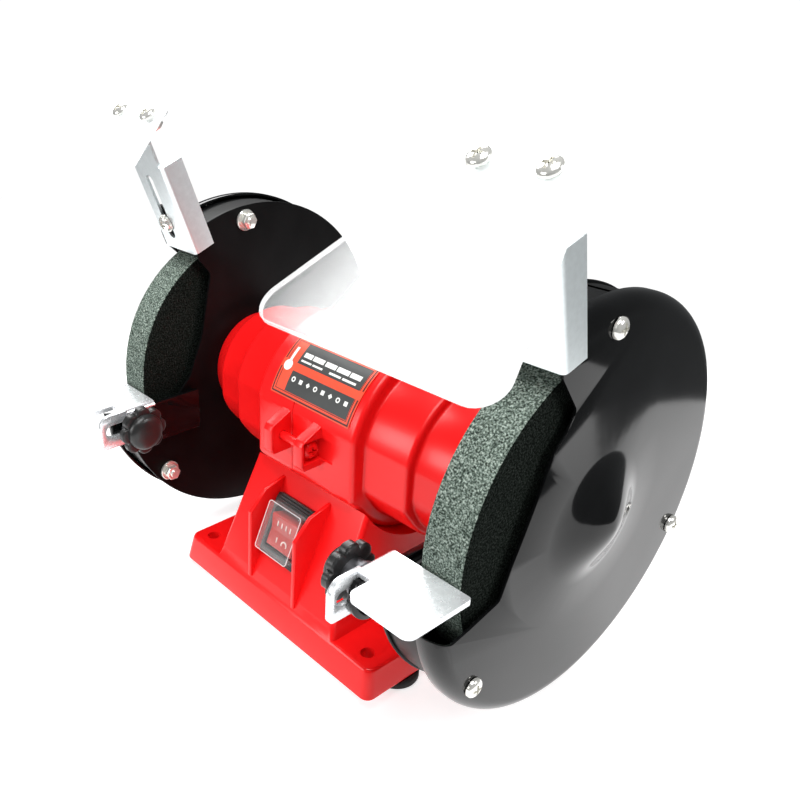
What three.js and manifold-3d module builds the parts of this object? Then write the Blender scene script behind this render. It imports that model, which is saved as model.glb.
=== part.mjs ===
// Bench grinder, 150 mm wheels: two guarded abrasive wheels on one motor shaft, on a cast pedestal.
// Millimetres, +Z up, +X along the motor shaft towards the right-hand wheel, -Y towards the user.
import * as THREE from "three";
import { mergeVertices } from "three/addons/utils/BufferGeometryUtils.js";
import Module from "manifold-3d";

const wasm = await Module();
wasm.setup();

// ---- driving dimensions -------------------------------------------------------------------
const GAP = 0.3; // clearance left between pieces that touch
const SHAFT_Z = 105; // height of the motor shaft above the bench
const WHEEL_R = 75;
const WHEEL_WIDTH = 20;
const WHEEL_X = 102.5; // motor-side face of a wheel
const SHEET = 1.5; // guard and bracket sheet metal

const BASE_Z = 5; // underside of the base, on its feet
const BASE_TOP_Z = 21;
const BASE_BOTTOM = [75.9, 72.0]; // half width and half depth
const BASE_TOP = [73.2, 68.7];
const BASE_WALL = 3.5;
const BOLT_HOLE = [63, 59.6];
const BOLT_HOLE_R = 3.5;
const FOOT = [65.5, 42.5];
const FOOT_R = 12;

const FLARE_Z = 27; // the pedestal's foot flares below this height
const FLARE_BOTTOM = [47.5, 68.6];
const FLARE_TOP = [45.5, 66.0];
const PEDESTAL_TOP = [41.5, 41.5];
const PEDESTAL_TOP_Z = 80.5;
const PEDESTAL_WALL = 3.5;

const BARREL_R = 48.5; // middle of the motor housing
const BARREL_X = 36;
const DRUM_R = 41; // first step down
const DRUM_X = 63;
const COLLAR_R = 36.5; // second step down
const COLLAR_X = 85;
const BOSS_R = 29; // seat for the guard's back plate
const SEAM_X = -7.5; // joint between the two housing halves

const GUARD_X = 96; // motor-side face of the guard's back plate
const GUARD_R = 92.2;
const COVER_X = 127; // outer face of the guard's cover
const COVER_R = 93.8;
const COVER_SHEET = 1.2;
const SKIRT_X = 117; // inner edge of the cover's skirt
const DOME_R = 51;
const DOME_X = 138.5; // top of the dome over the shaft nut

const BOLT_CIRCLE_R = 84.5;
const BOLT_ANGLES = { top: 94, front: 218, rear: 335 }; // from +Y towards +Z, in degrees

const REST_Z = 103.5; // top of a tool rest
const REST_BACK_Y = -76.5; // edge facing the wheel
const REST_PIVOT = [-90.5, 94]; // y and z of the tool rest's clamping stud

const BRACKET_ANGLE = 108.3; // the eye shield's bracket stands along this radius
const BRACKET_N = 13.1; // back face of the bracket's web, in front of that radius
const BRACKET_WIDTH = 28;
const FLANGE_N = 1.8; // back edge of the bracket's flange
const BRACKET_END = { right: 128.9, left: -94.1 }; // the flange stands on this end of the web
const ADJUST_X = 111.5; // the bracket's clamping screw
const SHIELD_ORIGIN = [-56.5, 250]; // y and z of the shield's screws
const SHIELD_SLOPE = 35.9; // fall of the shield towards the user, in degrees

const MIDDLE_X = 110; // middle plane of a guard
const GUARD_SIDES = 48; // facets round a guard or wheel
const HOUSING_SIDES = 32; // facets round the motor housing

// ---- materials ----------------------------------------------------------------------------
const material = (color, roughness, metalness, opacity = 1) =>
  new THREE.MeshStandardMaterial({ color, roughness, metalness, opacity, transparent: opacity < 1 });
const MATERIALS = {
  red: material(0xd8140f, 0.25, 0.0),
  black: material(0x0c0c0e, 0.25, 0.2),
  plastic: material(0x151515, 0.5, 0.0),
  rubber: material(0x101010, 0.8, 0.0),
  abrasive: material(0x66756a, 0.95, 0.0),
  zinc: material(0xc9ced2, 0.3, 0.9),
  steel: material(0x9a9ea3, 0.35, 0.9),
  copper: material(0xb46a3a, 0.4, 0.9),
  clear: material(0xe8f0f2, 0.05, 0.0, 0.25),
  rocker: material(0xb81a12, 0.3, 0.0),
  label: material(0x2b2b2e, 0.5, 0.0),
  aluminium: material(0xb0b3b6, 0.4, 0.8),
};

// ---- solids -------------------------------------------------------------------------------
function toSolid(geometry) {
  const bare = geometry.clone();
  bare.deleteAttribute("normal");
  bare.deleteAttribute("uv");
  const merged = mergeVertices(bare, 1e-4);
  const mesh = new wasm.Mesh({
    numProp: 3,
    vertProperties: Float32Array.from(merged.attributes.position.array),
    triVerts: Uint32Array.from(merged.index.array),
  });
  return new wasm.Manifold(mesh);
}

function toGeometry(solid) {
  const { vertProperties, triVerts } = solid.getMesh();
  const geometry = new THREE.BufferGeometry();
  geometry.setAttribute("position", new THREE.BufferAttribute(Float32Array.from(vertProperties), 3));
  geometry.setIndex(new THREE.BufferAttribute(Uint32Array.from(triVerts), 1));
  geometry.computeVertexNormals();
  return geometry;
}

const join = (first, ...rest) => rest.reduce((sum, piece) => sum.add(piece), first);
const cut = (first, ...rest) => rest.reduce((sum, piece) => sum.subtract(piece), first);

function block(x, y, z) {
  const geometry = new THREE.BoxGeometry(x[1] - x[0], y[1] - y[0], z[1] - z[0]);
  geometry.translate((x[0] + x[1]) / 2, (y[0] + y[1]) / 2, (z[0] + z[1]) / 2);
  return toSolid(geometry);
}

// A box whose half width and half depth change from its bottom to its top.
function frustum(bottom, bottomZ, top, topZ) {
  const geometry = new THREE.BoxGeometry(2, 2, 2);
  const position = geometry.attributes.position;
  for (let i = 0; i < position.count; i += 1) {
    const upper = position.getZ(i) > 0;
    const half = upper ? top : bottom;
    position.setXYZ(i, position.getX(i) * half[0], position.getY(i) * half[1], upper ? topZ : bottomZ);
  }
  return toSolid(geometry);
}

// Rotations that carry a geometry's own +Z (or +Y) onto a row axis.
const YZ_TO_X = new THREE.Matrix4().set(0, 0, 1, 0, 1, 0, 0, 0, 0, 1, 0, 0, 0, 0, 0, 1);

function outline(points) {
  return new THREE.Shape(points.map(([a, b]) => new THREE.Vector2(a, b)));
}

// An outline of [y, z] points, drawn out along X.
function slabX(points, x, holes = []) {
  const shape = points instanceof THREE.Shape ? points : outline(points);
  shape.holes.push(...holes);
  const geometry = new THREE.ExtrudeGeometry(shape, { depth: x[1] - x[0], bevelEnabled: false, curveSegments: 8 });
  geometry.applyMatrix4(YZ_TO_X);
  geometry.translate(x[0], 0, 0);
  return toSolid(geometry);
}

// A profile of [radius, height] points turned about +Z; it starts and ends on the axis or closes.
function turnedZ(profile, segments) {
  const closed = profile[0][0] > 0 ? [...profile, profile[0]] : profile;
  const geometry = new THREE.LatheGeometry(closed.map(([r, h]) => new THREE.Vector2(r, h)), segments);
  geometry.rotateX(Math.PI / 2);
  return geometry;
}

// The same profile turned about the X direction through (y, z); heights run along +X.
function turnedX(profile, segments, y = 0, z = SHAFT_Z) {
  const geometry = turnedZ(profile, segments);
  geometry.rotateY(Math.PI / 2);
  geometry.translate(0, y, z);
  return toSolid(geometry);
}

const rod = (r, from, to) => [[0, from], [r, from], [r, to], [0, to]];
const tube = (inner, outer, from, to) => [[inner, from], [outer, from], [outer, to], [inner, to]];
const rodX = (r, x, y, z, segments = 20) => turnedX(rod(r, x[0], x[1]), segments, y, z);

function rodZ(r, z, x, y, segments = 20) {
  const geometry = turnedZ(rod(r, z[0], z[1]), segments);
  geometry.translate(x, y, 0);
  return toSolid(geometry);
}

// A solid drawn in a frame of its own: x stays X, v runs along the tilted direction, n is normal.
function tilted(solid, direction, origin) {
  const [vy, vz] = direction;
  const frame = new THREE.Matrix4().set(
    1, 0, 0, 0,
    0, vy, -vz, origin[0],
    0, vz, vy, origin[1],
    0, 0, 0, 1,
  );
  const geometry = toGeometry(solid);
  geometry.applyMatrix4(frame);
  return toSolid(geometry);
}

function mirrored(geometry) {
  const copy = geometry.clone();
  copy.scale(-1, 1, 1);
  const index = Array.from(copy.index.array);
  for (let i = 0; i < index.length; i += 3) {
    [index[i], index[i + 1]] = [index[i + 1], index[i]];
  }
  copy.setIndex(index);
  copy.computeVertexNormals();
  return copy;
}

const polar = (r, degrees) => {
  const angle = THREE.MathUtils.degToRad(degrees);
  return [r * Math.cos(angle), SHAFT_Z + r * Math.sin(angle)];
};

// ---- scene --------------------------------------------------------------------------------
const grinder = new THREE.Group();

function place(name, geometry, look) {
  const mesh = new THREE.Mesh(geometry, MATERIALS[look]);
  mesh.name = name;
  grinder.add(mesh);
}

const put = (name, solid, look) => place(name, toGeometry(solid), look);

function putPair(name, solid, look) {
  const geometry = toGeometry(solid);
  place(`${name}_right`, geometry, look);
  place(`${name}_left`, mirrored(geometry), look);
}

const SIGNS = [-1, 1];
const corners = ([x, y]) => SIGNS.flatMap((sx) => SIGNS.map((sy) => [sx * x, sy * y]));

// ---- base ---------------------------------------------------------------------------------
// The pedestal's sloping face: s runs down the slope from its top edge, n out of the face.
const SLOPE_RUN = FLARE_TOP[1] - PEDESTAL_TOP[1];
const SLOPE_DROP = PEDESTAL_TOP_Z - FLARE_Z;
const SLOPE_LENGTH = Math.hypot(SLOPE_RUN, SLOPE_DROP);
const FRONT_UP = [SLOPE_RUN / SLOPE_LENGTH, SLOPE_DROP / SLOPE_LENGTH];
const FRONT_TOP = [-PEDESTAL_TOP[1], PEDESTAL_TOP_Z];

// Draws a box on the front face: x, s down the slope, n outwards.
function onFront(x, s, n) {
  return tilted(block(x, [-s[1], -s[0]], [n[0], n[1]]), FRONT_UP, FRONT_TOP);
}

const SWITCH_MIDDLE = 29.7; // down the slope
const SWITCH_BODY = [13, 13.4]; // half width, half length
const FIN_X = 17.5;
const FIN_THICK = 2.5;
const FIN_OUTLINE = [[-43.2, 76.3], [-56.8, 73], [-67, 62.9], [-68.6, 23], [-58, 23], [-38, 66]];
const GLAND_S = 46; // down the rear face

function baseHollow() {
  const under = frustum(
    [BASE_BOTTOM[0] - BASE_WALL, BASE_BOTTOM[1] - BASE_WALL], BASE_Z - 1,
    [BASE_TOP[0] - BASE_WALL, BASE_TOP[1] - BASE_WALL], BASE_TOP_Z - BASE_WALL,
  );
  const bosses = [...corners(BOLT_HOLE), ...corners(FOOT)].map(([x, y]) => rodZ(7.5, [6.6, BASE_TOP_Z], x, y));
  const shaft = frustum(
    [FLARE_TOP[0] - PEDESTAL_WALL, FLARE_TOP[1] - PEDESTAL_WALL], BASE_Z,
    [PEDESTAL_TOP[0] - PEDESTAL_WALL, PEDESTAL_TOP[1] - PEDESTAL_WALL], PEDESTAL_TOP_Z,
  );
  const saddleWall = rodX(BARREL_R + GAP + PEDESTAL_WALL, [-DRUM_X, DRUM_X], 0, SHAFT_Z, HOUSING_SIDES);
  return join(cut(under, ...bosses), cut(shaft, saddleWall));
}

function basePedestal() {
  const slab = frustum(BASE_BOTTOM, BASE_Z, BASE_TOP, BASE_TOP_Z);
  const flare = frustum(FLARE_BOTTOM, BASE_TOP_Z - 1, FLARE_TOP, FLARE_Z);
  const tower = frustum(FLARE_TOP, FLARE_Z - 0.5, PEDESTAL_TOP, PEDESTAL_TOP_Z);
  const fins = SIGNS.map((side) => {
    const middle = side * FIN_X;
    return slabX(FIN_OUTLINE, [middle - FIN_THICK / 2, middle + FIN_THICK / 2]);
  });
  const saddle = rodX(BARREL_R + GAP, [-DRUM_X, DRUM_X], 0, SHAFT_Z, HOUSING_SIDES);
  const [halfX, halfS] = SWITCH_BODY;
  const window = onFront(
    [-halfX - GAP, halfX + GAP], [SWITCH_MIDDLE - halfS - GAP, SWITCH_MIDDLE + halfS + GAP], [-25, 4],
  );
  const boltHoles = corners(BOLT_HOLE).map(([x, y]) => rodZ(BOLT_HOLE_R, [0, 30], x, y));
  const glandHole = onRear(rod(5.3, -12, 4), 20);
  return cut(join(slab, flare, tower, ...fins), baseHollow(), saddle, window, ...boltHoles, glandHole);
}

// A profile turned about the rear face's normal, at the cable gland.
function onRear(profile, segments) {
  const geometry = turnedZ(profile, segments);
  const normalTilt = Math.atan2(SLOPE_DROP, SLOPE_RUN);
  geometry.rotateX(-normalTilt);
  geometry.translate(
    0, PEDESTAL_TOP[1] + (GLAND_S * SLOPE_RUN) / SLOPE_LENGTH,
    PEDESTAL_TOP_Z - (GLAND_S * SLOPE_DROP) / SLOPE_LENGTH,
  );
  return toSolid(geometry);
}

function basePlate() {
  const sheet = block([-71.5, 71.5], [-67.2, 67.2], [BASE_Z, BASE_Z + 1.3]);
  return cut(sheet, ...corners(BOLT_HOLE).map(([x, y]) => rodZ(BOLT_HOLE_R, [0, 30], x, y)));
}

const FOOT_PROFILE = [
  [0, 0], [FOOT_R - 1, 0], [FOOT_R, 1], [FOOT_R, 3.7], [FOOT_R - 1, BASE_Z - GAP], [0, BASE_Z - GAP],
];
const GLAND_PROFILE = [
  [3.2, -5], [5, -5], [5, GAP], [9, GAP], [9, 4.5], [6.5, 6], [5.4, 15], [3.2, 15],
];

put("base_pedestal", basePedestal(), "red");
put("base_plate", basePlate(), "zinc");
for (const [x, y] of corners(FOOT)) {
  const foot = turnedZ(FOOT_PROFILE, 24);
  foot.translate(x, y, 0);
  put(`foot_${y < 0 ? "front" : "rear"}_${x < 0 ? "left" : "right"}`, toSolid(foot), "rubber");
}
put("cable_gland", onRear(GLAND_PROFILE, 20), "rubber");
put("capacitor", rodX(14, [-22, 22], 22, 27, 24), "aluminium");

// ---- switch -------------------------------------------------------------------------------
const RECESS = [10.9, 11.3]; // half width and half length of the rocker's well
const BEZEL = [15.5, 17];
const BEZEL_N = 5;
const BOOT = [12.2, 13.2];
const BOOT_N = 10;
const BOOT_WALL = 0.8;
const ROCKER_AXIS_N = -4;
const ROCKER_TILT = 8; // degrees, either way

const along = (half, grow = 0) => [SWITCH_MIDDLE - half - grow, SWITCH_MIDDLE + half + grow];

function switchFrame() {
  const bezel = onFront([-BEZEL[0], BEZEL[0]], along(BEZEL[1]), [GAP, BEZEL_N]);
  const body = onFront([-SWITCH_BODY[0], SWITCH_BODY[0]], along(SWITCH_BODY[1]), [-20, GAP + 1]);
  const well = onFront([-RECESS[0], RECESS[0]], along(RECESS[1]), [-13, BEZEL_N + 1]);
  return cut(join(bezel, body), well);
}

function switchBoot() {
  const shell = onFront([-BOOT[0], BOOT[0]], along(BOOT[1]), [BEZEL_N + GAP, BOOT_N]);
  const inside = onFront(
    [-BOOT[0] + BOOT_WALL, BOOT[0] - BOOT_WALL], along(BOOT[1], -BOOT_WALL), [0, BOOT_N - BOOT_WALL],
  );
  return cut(shell, inside);
}

// Side outline of the rocker about its axis: a shallow V across its face.
const ROCKER_OUTLINE = [[-9, 10.6], [0, 9.2], [9, 10.6], [9, 2], [4, -5], [-4, -5], [-9, 2]];

function switchRocker() {
  const body = slabX(ROCKER_OUTLINE, [-9.8, 9.8]);
  const geometry = toGeometry(body);
  geometry.rotateX(THREE.MathUtils.degToRad(ROCKER_TILT));
  geometry.translate(0, -SWITCH_MIDDLE, ROCKER_AXIS_N);
  return tilted(toSolid(geometry), FRONT_UP, FRONT_TOP);
}

put("switch_frame", switchFrame(), "plastic");
put("switch_boot", switchBoot(), "clear");
put("switch_rocker", switchRocker(), "rocker");

// ---- motor housing ------------------------------------------------------------------------
const END_X = GUARD_X - GAP;
const ROUND = 3;
const HOUSING_OUTSIDE = [
  [BARREL_R, BARREL_X - ROUND], [BARREL_R - ROUND, BARREL_X], [DRUM_R, BARREL_X],
  [DRUM_R, DRUM_X - 2], [DRUM_R - 2, DRUM_X], [COLLAR_R, DRUM_X], [COLLAR_R, COLLAR_X - ROUND],
  [COLLAR_R - ROUND, COLLAR_X], [BOSS_R, COLLAR_X], [BOSS_R, END_X],
];
const HOUSING_INSIDE = [
  [7.9, END_X], [7.9, COLLAR_X], [16.3, COLLAR_X], [16.3, 73], [32, 73], [33, 58], [37.5, 56], [37.5, 33], [45, 31],
];
const LUG_Y = [-59, -42];
const LUG_Z = [97, 116];
const CLAMP = [-51.8, 106.5]; // y and z of the front clamping screw
const LEFT_LUG_X = [-15, -8.6];
const RIGHT_LUG_X = [7.5, 14];
const POCKET = 5.8; // half side of the square pocket round the screw head
const BARREL_FLAT = 46.8; // the housing's front and rear are flat below the shaft
const DRUM_FLAT = 39.9;

const flipped = (profile) => profile.map(([r, h]) => [r, -h]).reverse();

const motorRoom = () => rodX(45, [-BARREL_X, BARREL_X], 0, SHAFT_Z, HOUSING_SIDES);

function housingWhole() {
  const profile = [...flipped(HOUSING_OUTSIDE), ...HOUSING_OUTSIDE, ...HOUSING_INSIDE, ...flipped(HOUSING_INSIDE)];
  const shell = turnedX(profile, HOUSING_SIDES);
  const chins = SIGNS.map((side) => {
    const ends = [side * (BARREL_X - 1), side * (DRUM_X - 0.5)].sort((a, b) => a - b);
    const chin = block(ends, [-DRUM_FLAT, DRUM_FLAT], [70, SHAFT_Z]).intersect(rodX(46, ends, 0, SHAFT_Z, HOUSING_SIDES));
    return cut(chin, rodX(37.5, [ends[0] - 1, ends[1] + 1], 0, SHAFT_Z, HOUSING_SIDES));
  });
  const cheeks = SIGNS.map((side) => {
    const y = [side * 40, side * BARREL_FLAT].sort((a, b) => a - b);
    return block([1 - BARREL_X, BARREL_X - 1], y, [84, SHAFT_Z]);
  });
  const flats = block([-END_X - 1, END_X + 1], [-BARREL_FLAT, BARREL_FLAT], [0, 200]);
  return join(shell, ...chins, ...cheeks.map((cheek) => cut(cheek, motorRoom()))).intersect(flats);
}

function lug(x, side) {
  const y = side < 0 ? LUG_Y : [-LUG_Y[1], -LUG_Y[0]];
  return cut(block(x, y, LUG_Z), rodX(BARREL_R - 2, [x[0] - 1, x[1] + 1], 0, SHAFT_Z, HOUSING_SIDES));
}

function housingHalf(x, lugX, pocketed) {
  const half = housingWhole().intersect(block(x, [-80, 80], [0, 200]));
  const lugs = SIGNS.map((side) => lug(lugX, side));
  const holes = SIGNS.map((side) => rodX(2.4, [-30, 30], side * -CLAMP[0], CLAMP[1], 12));
  const pockets = SIGNS.map((side) => {
    const y = side * -CLAMP[0];
    const z = CLAMP[1];
    return block([11, 20], [y - POCKET, y + POCKET], [z - POCKET, z + POCKET]);
  });
  return cut(join(half, ...lugs), ...holes, ...(pocketed ? pockets : []));
}

function clampScrew(side) {
  const y = side * -CLAMP[0];
  const shank = rodX(2.1, [-14.6, 12], y, CLAMP[1], 12);
  const head = turnedX([[0, 11 + GAP], [4.1, 11 + GAP], [4.1, 12.6], [3, 13.7], [0, 14]], 20, y, CLAMP[1]);
  return join(shank, head);
}

// A thin curved plate that follows the barrel.
function ratingLabel() {
  const shape = new THREE.Shape();
  const inner = BARREL_R + GAP;
  const outer = inner + 0.5;
  const from = THREE.MathUtils.degToRad(121);
  const to = THREE.MathUtils.degToRad(157);
  shape.absarc(0, SHAFT_Z, outer, from, to, false);
  shape.absarc(0, SHAFT_Z, inner, to, from, true);
  return slabX(shape, [-24, 24]);
}

put("housing_left", housingHalf([-END_X - 1, SEAM_X - GAP / 2], LEFT_LUG_X, false), "red");
put("housing_right", housingHalf([SEAM_X + GAP / 2, END_X + 1], RIGHT_LUG_X, true), "red");
put("clamp_screw_front", clampScrew(-1), "red");
put("clamp_screw_rear", clampScrew(1), "red");
put("rating_label", ratingLabel(), "label");

// ---- motor --------------------------------------------------------------------------------
put("stator_core", turnedX(tube(24, 44.7, -20, 20), 32), "steel");
const WINDING = [[27, 20.3], [42, 20.3], [42, 27], [39, 31], [30, 31], [27, 27]];
putPair("winding", turnedX(WINDING, 32), "copper");
put("rotor_core", turnedX(tube(6.3, 23.3, -20, 20), 24), "aluminium");
putPair("bearing", turnedX(tube(6.3, 16, 73.5, 83.5), 24), "steel");

const SHAFT_PROFILE = [
  [0, 0], [6, 0], [6, 84], [7.5, 84], [7.5, 98.3], [6.3, 98.3], [6.3, 132], [5.6, 133], [0, 133],
];
put("shaft", turnedX([...flipped(SHAFT_PROFILE.slice(2)), ...SHAFT_PROFILE.slice(2)], 16), "steel");

// ---- wheels -------------------------------------------------------------------------------
const WHEEL_END = WHEEL_X + WHEEL_WIDTH;
const WHEEL_PROFILE = [
  [6.7, WHEEL_X], [WHEEL_R - 0.8, WHEEL_X], [WHEEL_R, WHEEL_X + 0.8], [WHEEL_R, WHEEL_END - 0.8],
  [WHEEL_R - 0.8, WHEEL_END], [6.7, WHEEL_END],
];
const FLANGE_R = 21;
const FLANGE_WIDTH = 2.6;

function arborNut() {
  const points = Array.from({ length: 6 }, (_, i) => polar(10.9, 60 * i));
  const hole = rodX(6.6, [100, 140], 0, SHAFT_Z, 24);
  return cut(slabX(points, [WHEEL_END + FLANGE_WIDTH + 2 * GAP, WHEEL_END + 10.3]), hole);
}

putPair("grinding_wheel", turnedX(WHEEL_PROFILE, GUARD_SIDES), "abrasive");
putPair("flange_inner", turnedX(tube(6.7, FLANGE_R, WHEEL_X - GAP - FLANGE_WIDTH, WHEEL_X - GAP), 32), "steel");
putPair("flange_outer", turnedX(tube(6.7, FLANGE_R, WHEEL_END + GAP, WHEEL_END + GAP + FLANGE_WIDTH), 32), "steel");
putPair("arbor_nut", arborNut(), "zinc");

// ---- guards -------------------------------------------------------------------------------
const BRACKET_DIR = [Math.cos(THREE.MathUtils.degToRad(BRACKET_ANGLE)), Math.sin(THREE.MathUtils.degToRad(BRACKET_ANGLE))];

// Draws a box beside the bracket's radius: x, r outwards from the shaft, n towards the user.
const onRadius = (x, r, n) => tilted(block(x, r, n), BRACKET_DIR, [0, SHAFT_Z]);

const bracketPoint = (r, n) => {
  const [dy, dz] = BRACKET_DIR;
  return [r * dy - n * dz, SHAFT_Z + r * dz + n * dy];
};

const TAB_N = [11.3, 12.8];
// The working opening in the cover and in the back plate, from its top round to its bottom.
const COVER_OPENING = [
  bracketPoint(120, TAB_N[1]), bracketPoint(74, TAB_N[1]), [-31, 170], [-24.7, 161], [-27.8, 153.8],
  [-33.7, 147.5], [-43.9, 122.5], [-49.8, 107], [-55.7, 89.9], [-72.8, 85.4], [-82.7, 83.3],
  [-88, 85.5], [-96, 90], [-130, 90], [-130, 200],
];
const PLATE_OPENING = [
  bracketPoint(120, TAB_N[1]), bracketPoint(76, TAB_N[1]), [-30.3, 163.6], [-37.9, 130], [-42.7, 118.7],
  [-47.7, 107.5], [-56.5, 98], [-130, 96], [-130, 200],
];
const WALL_OPENING = [
  bracketPoint(120, TAB_N[1]), bracketPoint(70, TAB_N[1]), [0, SHAFT_Z], [-130, 76], [-130, 200],
];

const boltHoles = () => Object.values(BOLT_ANGLES).map((angle) => {
  const [y, z] = polar(BOLT_CIRCLE_R, angle);
  return rodX(2.75, [80, 140], y, z, 8);
});

function guardInner() {
  const plate = cut(
    rodX(GUARD_R, [GUARD_X, GUARD_X + SHEET], 0, SHAFT_Z, GUARD_SIDES),
    rodX(9, [90, 100], 0, SHAFT_Z, 24),
    slabX(PLATE_OPENING, [90, 140]),
  );
  const wall = cut(turnedX(tube(89.7, 91, GUARD_X + 0.5, SKIRT_X + 0.8), GUARD_SIDES), slabX(WALL_OPENING, [90, 140]));
  const tab = onRadius([GUARD_X + 0.2, SKIRT_X - 0.5], [78, 91], TAB_N);
  const ear = onRadius([102, SKIRT_X - 0.5], [90, 106], TAB_N);
  const earHole = tilted(
    toSolid(new THREE.CylinderGeometry(2.9, 2.9, 8, 16).rotateX(Math.PI / 2).translate(ADJUST_X, 97.5, TAB_N[0])),
    BRACKET_DIR, [0, SHAFT_Z],
  );
  return cut(join(plate, wall, tab, ear), ...boltHoles(), earHole);
}

const COVER_OUTSIDE = [
  [0, DOME_X], [14, DOME_X - 0.8], [26, DOME_X - 4], [37, DOME_X - 8], [DOME_R, COVER_X],
  [86.5, COVER_X], [91.6, COVER_X - 2.2], [COVER_R, COVER_X - 7.3], [COVER_R, SKIRT_X],
];
const COVER_INSIDE = [
  [COVER_R - COVER_SHEET, SKIRT_X], [COVER_R - COVER_SHEET, COVER_X - 7.1], [90.6, COVER_X - 3.2],
  [86.2, COVER_X - COVER_SHEET], [DOME_R - 0.4, COVER_X - COVER_SHEET], [36.6, DOME_X - 9.2],
  [25.6, DOME_X - 5.2], [13.8, DOME_X - 2], [0, DOME_X - COVER_SHEET],
];

function guardCover() {
  const shell = turnedX([...COVER_OUTSIDE, ...COVER_INSIDE].reverse(), GUARD_SIDES);
  return cut(shell, slabX(COVER_OPENING, [90, 140]), ...boltHoles());
}

function coverBolt(angle) {
  const [y, z] = polar(BOLT_CIRCLE_R, angle);
  const head = turnedX([
    [0, COVER_X + GAP], [4.3, COVER_X + GAP], [4.3, COVER_X + 1.3], [3.2, COVER_X + 2.6], [0, COVER_X + 3],
  ], 12, y, z);
  const shank = rodX(2.4, [88, COVER_X + 1], y, z, 8);
  const washer = rodX(5.8, [94.5, GUARD_X - GAP], y, z, 12);
  const points = Array.from({ length: 6 }, (_, i) => {
    const turn = THREE.MathUtils.degToRad(60 * i);
    return [y + 4.6 * Math.cos(turn), z + 4.6 * Math.sin(turn)];
  });
  return join(head, shank, washer, slabX(points, [90.5, 94.7]));
}

putPair("guard_inner", guardInner(), "black");
putPair("guard_cover", guardCover(), "black");
for (const [where, angle] of Object.entries(BOLT_ANGLES)) {
  putPair(`cover_bolt_${where}`, coverBolt(angle), "zinc");
}

// ---- tool rests ---------------------------------------------------------------------------
const ARM_X = [91.1, 94.1];
const ARM_END = [-95, 89.5]; // y and z of the arm's round end
const ARM_END_R = 10.5;
const REST_TAB_X = [88.3, 90.8];
const REST_TAB_SLOT = [-107.4, -83];
const REST_TAB_SLOT_R = 3.4;
const KNOB_X = [77, 81.5];
const KNOB_R = 13.5;
const KNOB_LOBES = 8;
const STUD_R = 2.9;
const STUD_X = 79.3; // end of the stud inside the knob

// A slot with round ends, from y0 to y1 at height z.
function slotX(y, z, radius, x) {
  const middle = block(x, [y[0] + radius, y[1] - radius], [z - radius, z + radius]);
  return join(middle, rodX(radius, x, y[0] + radius, z, 16), rodX(radius, x, y[1] - radius, z, 16));
}

function restArm() {
  const strip = join(
    block(ARM_X, [ARM_END[0], -46], [ARM_END[1] - ARM_END_R, ARM_END[1] + ARM_END_R]),
    rodX(ARM_END_R, ARM_X, ...ARM_END, 24),
    block([ARM_X[0], GUARD_X - GAP], [-72, -46], [76, 98]),
  );
  return cut(strip, rodX(STUD_R + GAP, [80, 96], ...REST_PIVOT, 20));
}

function restPlate() {
  const table = outline([
    [REST_TAB_X[0], REST_BACK_Y], [129, REST_BACK_Y], [129, -107], [126, -110], [101, -110], [98, -107],
    [98, -97], [REST_TAB_X[0], -97],
  ]);
  const geometry = new THREE.ExtrudeGeometry(table, { depth: 2.5, bevelEnabled: false });
  geometry.translate(0, 0, REST_Z - 2.5);
  const tab = slabX(
    [[-105, REST_Z], [-111, REST_Z - 5], [-111, 87], [-108, 84], [-84.5, 84], [-81, 87.5], [-81, REST_Z]],
    REST_TAB_X,
  );
  return cut(join(toSolid(geometry), tab), slotX(REST_TAB_SLOT, REST_PIVOT[1], REST_TAB_SLOT_R, [80, 95]));
}

function restKnob() {
  const [y, z] = REST_PIVOT;
  const count = KNOB_LOBES * 6;
  const points = Array.from({ length: count }, (_, i) => {
    const turn = (2 * Math.PI * i) / count;
    const r = KNOB_R - 1.3 + 1.3 * Math.cos(KNOB_LOBES * turn);
    return [y + r * Math.cos(turn), z + r * Math.sin(turn)];
  });
  const hub = rodX(7, [KNOB_X[1] - 1, REST_TAB_X[0] - GAP], y, z, 24);
  const dome = turnedX([[0, 72.4], [6, 72.9], [9.8, 74.6], [11, KNOB_X[0] + 1], [0, KNOB_X[0] + 1]], 24, y, z);
  return cut(join(slabX(points, KNOB_X), hub, dome), rodX(STUD_R + GAP, [STUD_X - GAP, 95], y, z, 16));
}

// The carriage bolt through arm and rest, which the knob screws onto.
function clampBolt() {
  const shank = rodX(STUD_R, [STUD_X, ARM_X[1] + 1], ...REST_PIVOT, 16);
  const head = rodX(6, [ARM_X[1] + GAP, GUARD_X - GAP], ...REST_PIVOT, 20);
  return join(shank, head);
}

putPair("rest_arm", restArm(), "black");
putPair("rest_plate", restPlate(), "zinc");
putPair("rest_knob", restKnob(), "plastic");
putPair("clamp_bolt", clampBolt(), "zinc");

// ---- eye shields --------------------------------------------------------------------------
const SLOT_R = [88, 125];
const STEM_X = [97, 123];
const STEM_R = 152.6;
const SHIELD_SCREW_X = 13; // either side of the guard's middle
const FALL = THREE.MathUtils.degToRad(SHIELD_SLOPE);
const SHIELD_DIR = [Math.cos(FALL), Math.sin(FALL)];

// Draws in the shield's plane: v runs up and back from the screws, n out of its upper face.
const onShield = (solid) => tilted(solid, SHIELD_DIR, SHIELD_ORIGIN);

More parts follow.
